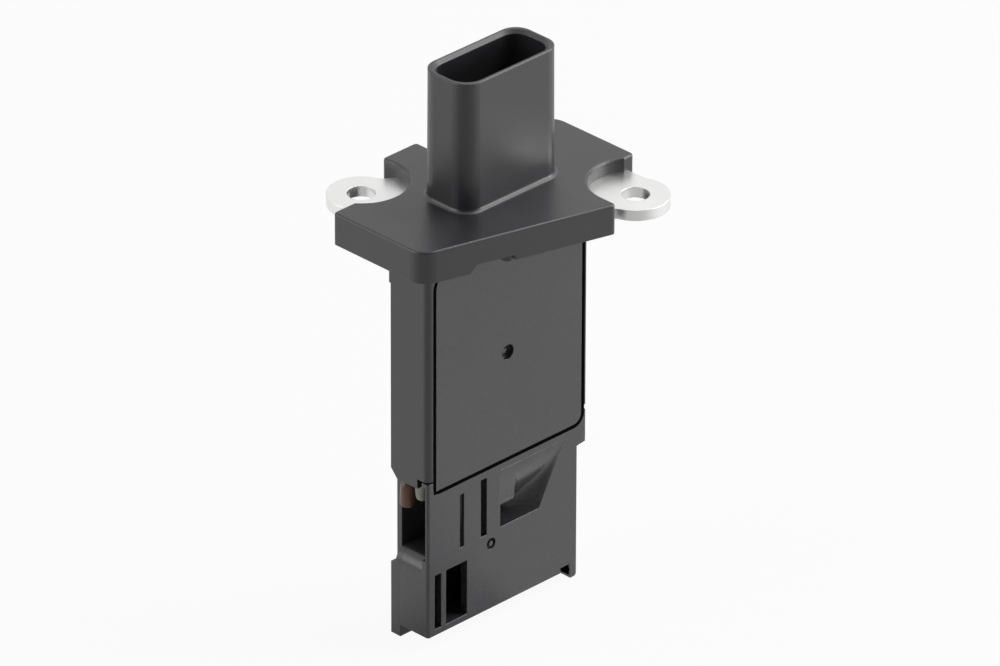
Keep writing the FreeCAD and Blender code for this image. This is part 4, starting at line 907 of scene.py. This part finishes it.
class DressGates(bpy.types.Operator):
    """Break off a sprue in each of the two gate recesses"""

    bl_idname = "airflow.dress_gates"
    bl_label = "Dress gates"

    def execute(self, context):
        along = Vector((0, -context.scene.sensor_detail.stub_height, 0))
        shape = [(0.0, 1.5), (0.15, 1.12), (0.4, 1.0), (0.8, 0.9), (1.0, 0.6)]
        bm = bmesh.new()
        for across, up, floor, radius in GATES:
            root = Vector((across, PROBE_FRONT + floor, up))
            first = len(bm.verts)
            add_turned(bm, root, along, radius, shape, 14)
            bm.verts.ensure_lookup_table()
            for vertex in bm.verts[first:]:
                turn = math.atan2(vertex.co.z - root.z, vertex.co.x - root.x)
                ragged = 0.12 * math.sin(3 * turn) + 0.07 * math.sin(7 * turn + 1)
                vertex.co.y += ragged * (vertex.co.y - root.y)
        torn = moulded_plastic("Torn moulding", (0.03, 0.03, 0.032), 0.6)
        new_piece("gate_stubs", bm, torn)
        return {"FINISHED"}


class FairScoop(bpy.types.Operator):
    """Fair the outlet scoop, so that its bowl starts flush and steepens, and its land rolls over into it"""

    bl_idname = "airflow.fair_scoop"
    bl_label = "Fair scoop"

    def execute(self, context):
        detail = context.scene.sensor_detail
        solid = depth_finder("bypass_cover", THROAT_DEPTH)
        # How far the slab stays behind its own curve, sinks into the shell, and keeps from the land's edge.
        skin, sunk, split = 0.01 * MM, 0.05 * MM, 0.12 * MM

        def front(spot):
            share = min(1.0, max(0.0, (SCOOP_TOP - spot.y) / (SCOOP_TOP - THROAT_TOP)))
            here = solid(max(SCOOP_LEFT + skin, spot.x), spot.y)
            if spot.x < THROAT_RIGHT:
                lead = min(1.0, share / detail.land_lead)
                fall = max(0.0, (LAND_END - spot.y) / (LAND_END - THROAT_TOP))
                level = LAND_DEPTH * lead ** 2 * (3 - 2 * lead)
                return min(here, level + (THROAT_DEPTH - LAND_DEPTH) * fall ** 2) - skin
            curved = THROAT_DEPTH * share ** (1 + detail.scoop_curve)
            blend = detail.scoop_blend * 4 * share * (1 - share)
            return max(skin, (here + curved - math.hypot(here - curved, blend)) / 2 - skin)

        def behind(spot):
            return solid(max(SCOOP_LEFT + skin, spot.x), spot.y) + sunk

        bm = bmesh.new()
        steps = 36
        rows = []
        for row in range(steps + 1):
            up = SCOOP_TOP + sunk + (THROAT_TOP - SCOOP_TOP - sunk) * row / steps
            slant = SCOOP_HEAD + (SCOOP_FOOT - SCOOP_HEAD) * (SCOOP_TOP - up) / (SCOOP_TOP - SCOOP_END)
            spans = ((SCOOP_LEFT - sunk, THROAT_RIGHT - split, 12),
                     (THROAT_RIGHT + split, slant + sunk, 28))
            rows.append([Vector((low + (high - low) * step / count, up))
                         for low, high, count in spans for step in range(count + 1)])
        add_slab(bm, rows, front, behind)
        moulding = NODES["bypass_cover"].data.materials[0]
        fairing = new_piece("scoop_fairing", bm, moulding)
        fairing.data.set_sharp_from_angle(angle=math.radians(50))
        return {"FINISHED"}


def add_lamp(name, place, size, power):
    """A square soft lamp that points at the sensor."""
    lamp = bpy.data.lights.new(name, "AREA")
    lamp.shape = "SQUARE"
    lamp.size = size
    lamp.energy = power
    made = bpy.data.objects.new(name, lamp)
    bpy.context.scene.collection.objects.link(made)
    made.location = place
    made.rotation_mode = "QUATERNION"
    made.rotation_quaternion = (AIM - Vector(place)).to_track_quat("-Z", "Y")


def white_share(tree, outward):
    """Share of plain white: all of it for what is seen, and none in light that only brightens things."""
    # In glossy things, the studio's side behind the camera is hung with dark cloth.
    front = (-math.sin(CAMERA_TURN), -math.cos(CAMERA_TURN), 0)
    cloth = ramp_node(tree, dot_product(tree, outward, front), [(0.35, 1.0), (0.8, 0.08)])
    rays = tree.nodes.new("ShaderNodeLightPath").outputs
    seen = math_node(tree, "MAXIMUM", rays["Is Camera Ray"], rays["Is Transmission Ray"])
    return math_node(tree, "MAXIMUM", seen, math_node(tree, "MULTIPLY", rays["Is Glossy Ray"], cloth))


def mix_shaders(tree, share, first, second, output):
    """Send a mix of two shaders to an output node."""
    mixed = tree.nodes.new("ShaderNodeMixShader")
    for socket, source in zip(mixed.inputs, (share, first.outputs[0], second.outputs[0])):
        tree.links.new(source, socket)
    tree.links.new(mixed.outputs[0], tree.nodes[output].inputs["Surface"])


class SetStudio(bpy.types.Operator):
    """Lay the pale floor, set the soft lamps and place the photograph's camera"""

    bl_idname = "airflow.set_studio"
    bl_label = "Set studio"

    def execute(self, context):
        self.lay_floor(context.scene.sensor_studio)
        self.light_room(context)
        self.place_camera(context)
        context.scene.view_settings.view_transform = "Standard"
        return {"FINISHED"}

    def lay_floor(self, studio):
        """Pale paper that looks almost plain white, under the sensor."""
        material, tree, paper, place = new_material("Studio floor")
        colour = tuple(studio.floor_colour)
        shade = ramp_node(tree, noise(tree, place, 3.0, 2.0),
                          [(0.3, tuple(channel * 0.985 for channel in colour)), (0.7, colour)])
        feed_all(tree, paper, Base_Color=shade, Roughness=0.9)
        outward = tree.nodes.new("ShaderNodeVectorMath")
        outward.operation = "NORMALIZE"
        tree.links.new(place, outward.inputs[0])
        share = math_node(tree, "MULTIPLY", white_share(tree, outward.outputs[0]), studio.floor_white)
        white = add_node(tree, "ShaderNodeEmission", Strength=1.0)
        mix_shaders(tree, share, paper, white, "Material Output")
        bm = bmesh.new()
        bmesh.ops.create_grid(bm, x_segments=8, y_segments=8, size=3.0)
        floor = mesh_object("studio_floor", bm, material)
        floor.location = (0, 0, CAD_BOX[0].z)

    def light_room(self, context):
        """A white room that gives little light of its own, and the soft lamps."""
        studio = context.scene.sensor_studio
        world = bpy.data.worlds.new("Studio room")
        world.use_nodes = True
        context.scene.world = world
        tree = world.node_tree
        even, blank = tree.nodes["Background"], (1.0, 1.0, 1.0)
        feed_all(tree, even, Color=blank, Strength=studio.world_level)
        white = add_node(tree, "ShaderNodeBackground", Color=blank, Strength=1.0)
        outward = tree.nodes.new("ShaderNodeTexCoord").outputs["Generated"]
        mix_shaders(tree, white_share(tree, outward), even, white, "World Output")
        for name, place, size, power in LAMPS:
            add_lamp(name, place, size, getattr(studio, power))

    def place_camera(self, context):
        """The photograph's camera, far off with a long lens."""
        back = Vector((-math.sin(CAMERA_TURN) * math.cos(CAMERA_RISE),
                       -math.cos(CAMERA_TURN) * math.cos(CAMERA_RISE), math.sin(CAMERA_RISE)))
        level = Vector((math.cos(CAMERA_TURN), -math.sin(CAMERA_TURN), 0))
        upright = Matrix((level, back.cross(level), back)).transposed()
        turned = Matrix.Rotation(CAMERA_ROLL, 3, back) @ upright
        lens = bpy.data.cameras.new("photograph_camera")
        lens.sensor_width = 36.0
        lens.lens = CAMERA_LENS
        lens.clip_start, lens.clip_end = 0.1, 20.0
        camera = bpy.data.objects.new("photograph_camera", lens)
        camera.matrix_world = Matrix.Translation(AIM + back * CAMERA_DISTANCE) @ turned.to_4x4()
        context.scene.collection.objects.link(camera)
        context.scene.camera = camera


class SensorPanel(bpy.types.Panel):
    """The steps that dress the sensor, in order."""

    bl_idname = "VIEW3D_PT_airflow_sensor"
    bl_label = "Airflow sensor"
    bl_space_type = "VIEW_3D"
    bl_region_type = "UI"
    bl_category = "Airflow sensor"

    def draw(self, context):
        for group in GROUPS:
            settings = getattr(context.scene, group)
            box = self.layout.box()
            for name in settings.bl_rna.properties.keys():
                if name not in {"rna_type", "name"}:
                    box.prop(settings, name)
        for step in STEPS:
            self.layout.operator(step.bl_idname)


GROUPS = {"sensor_finish": SensorFinish, "sensor_detail": SensorDetail, "sensor_studio": SensorStudio}
STEPS = (DressHousing, DressCovers, DressPlate, DressTerminals, DressThermistor, DressCircuit, DressElement,
         DressSeals, DressGates, FairScoop, SetStudio)


def register():
    for made in (*GROUPS.values(), *STEPS, SensorPanel):
        bpy.utils.register_class(made)
    for name, group in GROUPS.items():
        setattr(bpy.types.Scene, name, bpy.props.PointerProperty(type=group))


def unregister():
    for name in GROUPS:
        delattr(bpy.types.Scene, name)
    for made in (SensorPanel, *reversed(STEPS), *GROUPS.values()):
        bpy.utils.unregister_class(made)


def main():
    register()
    for step in STEPS:
        package, name = step.bl_idname.split(".")
        getattr(getattr(bpy.ops, package), name)()


if __name__ == "__main__":
    main()
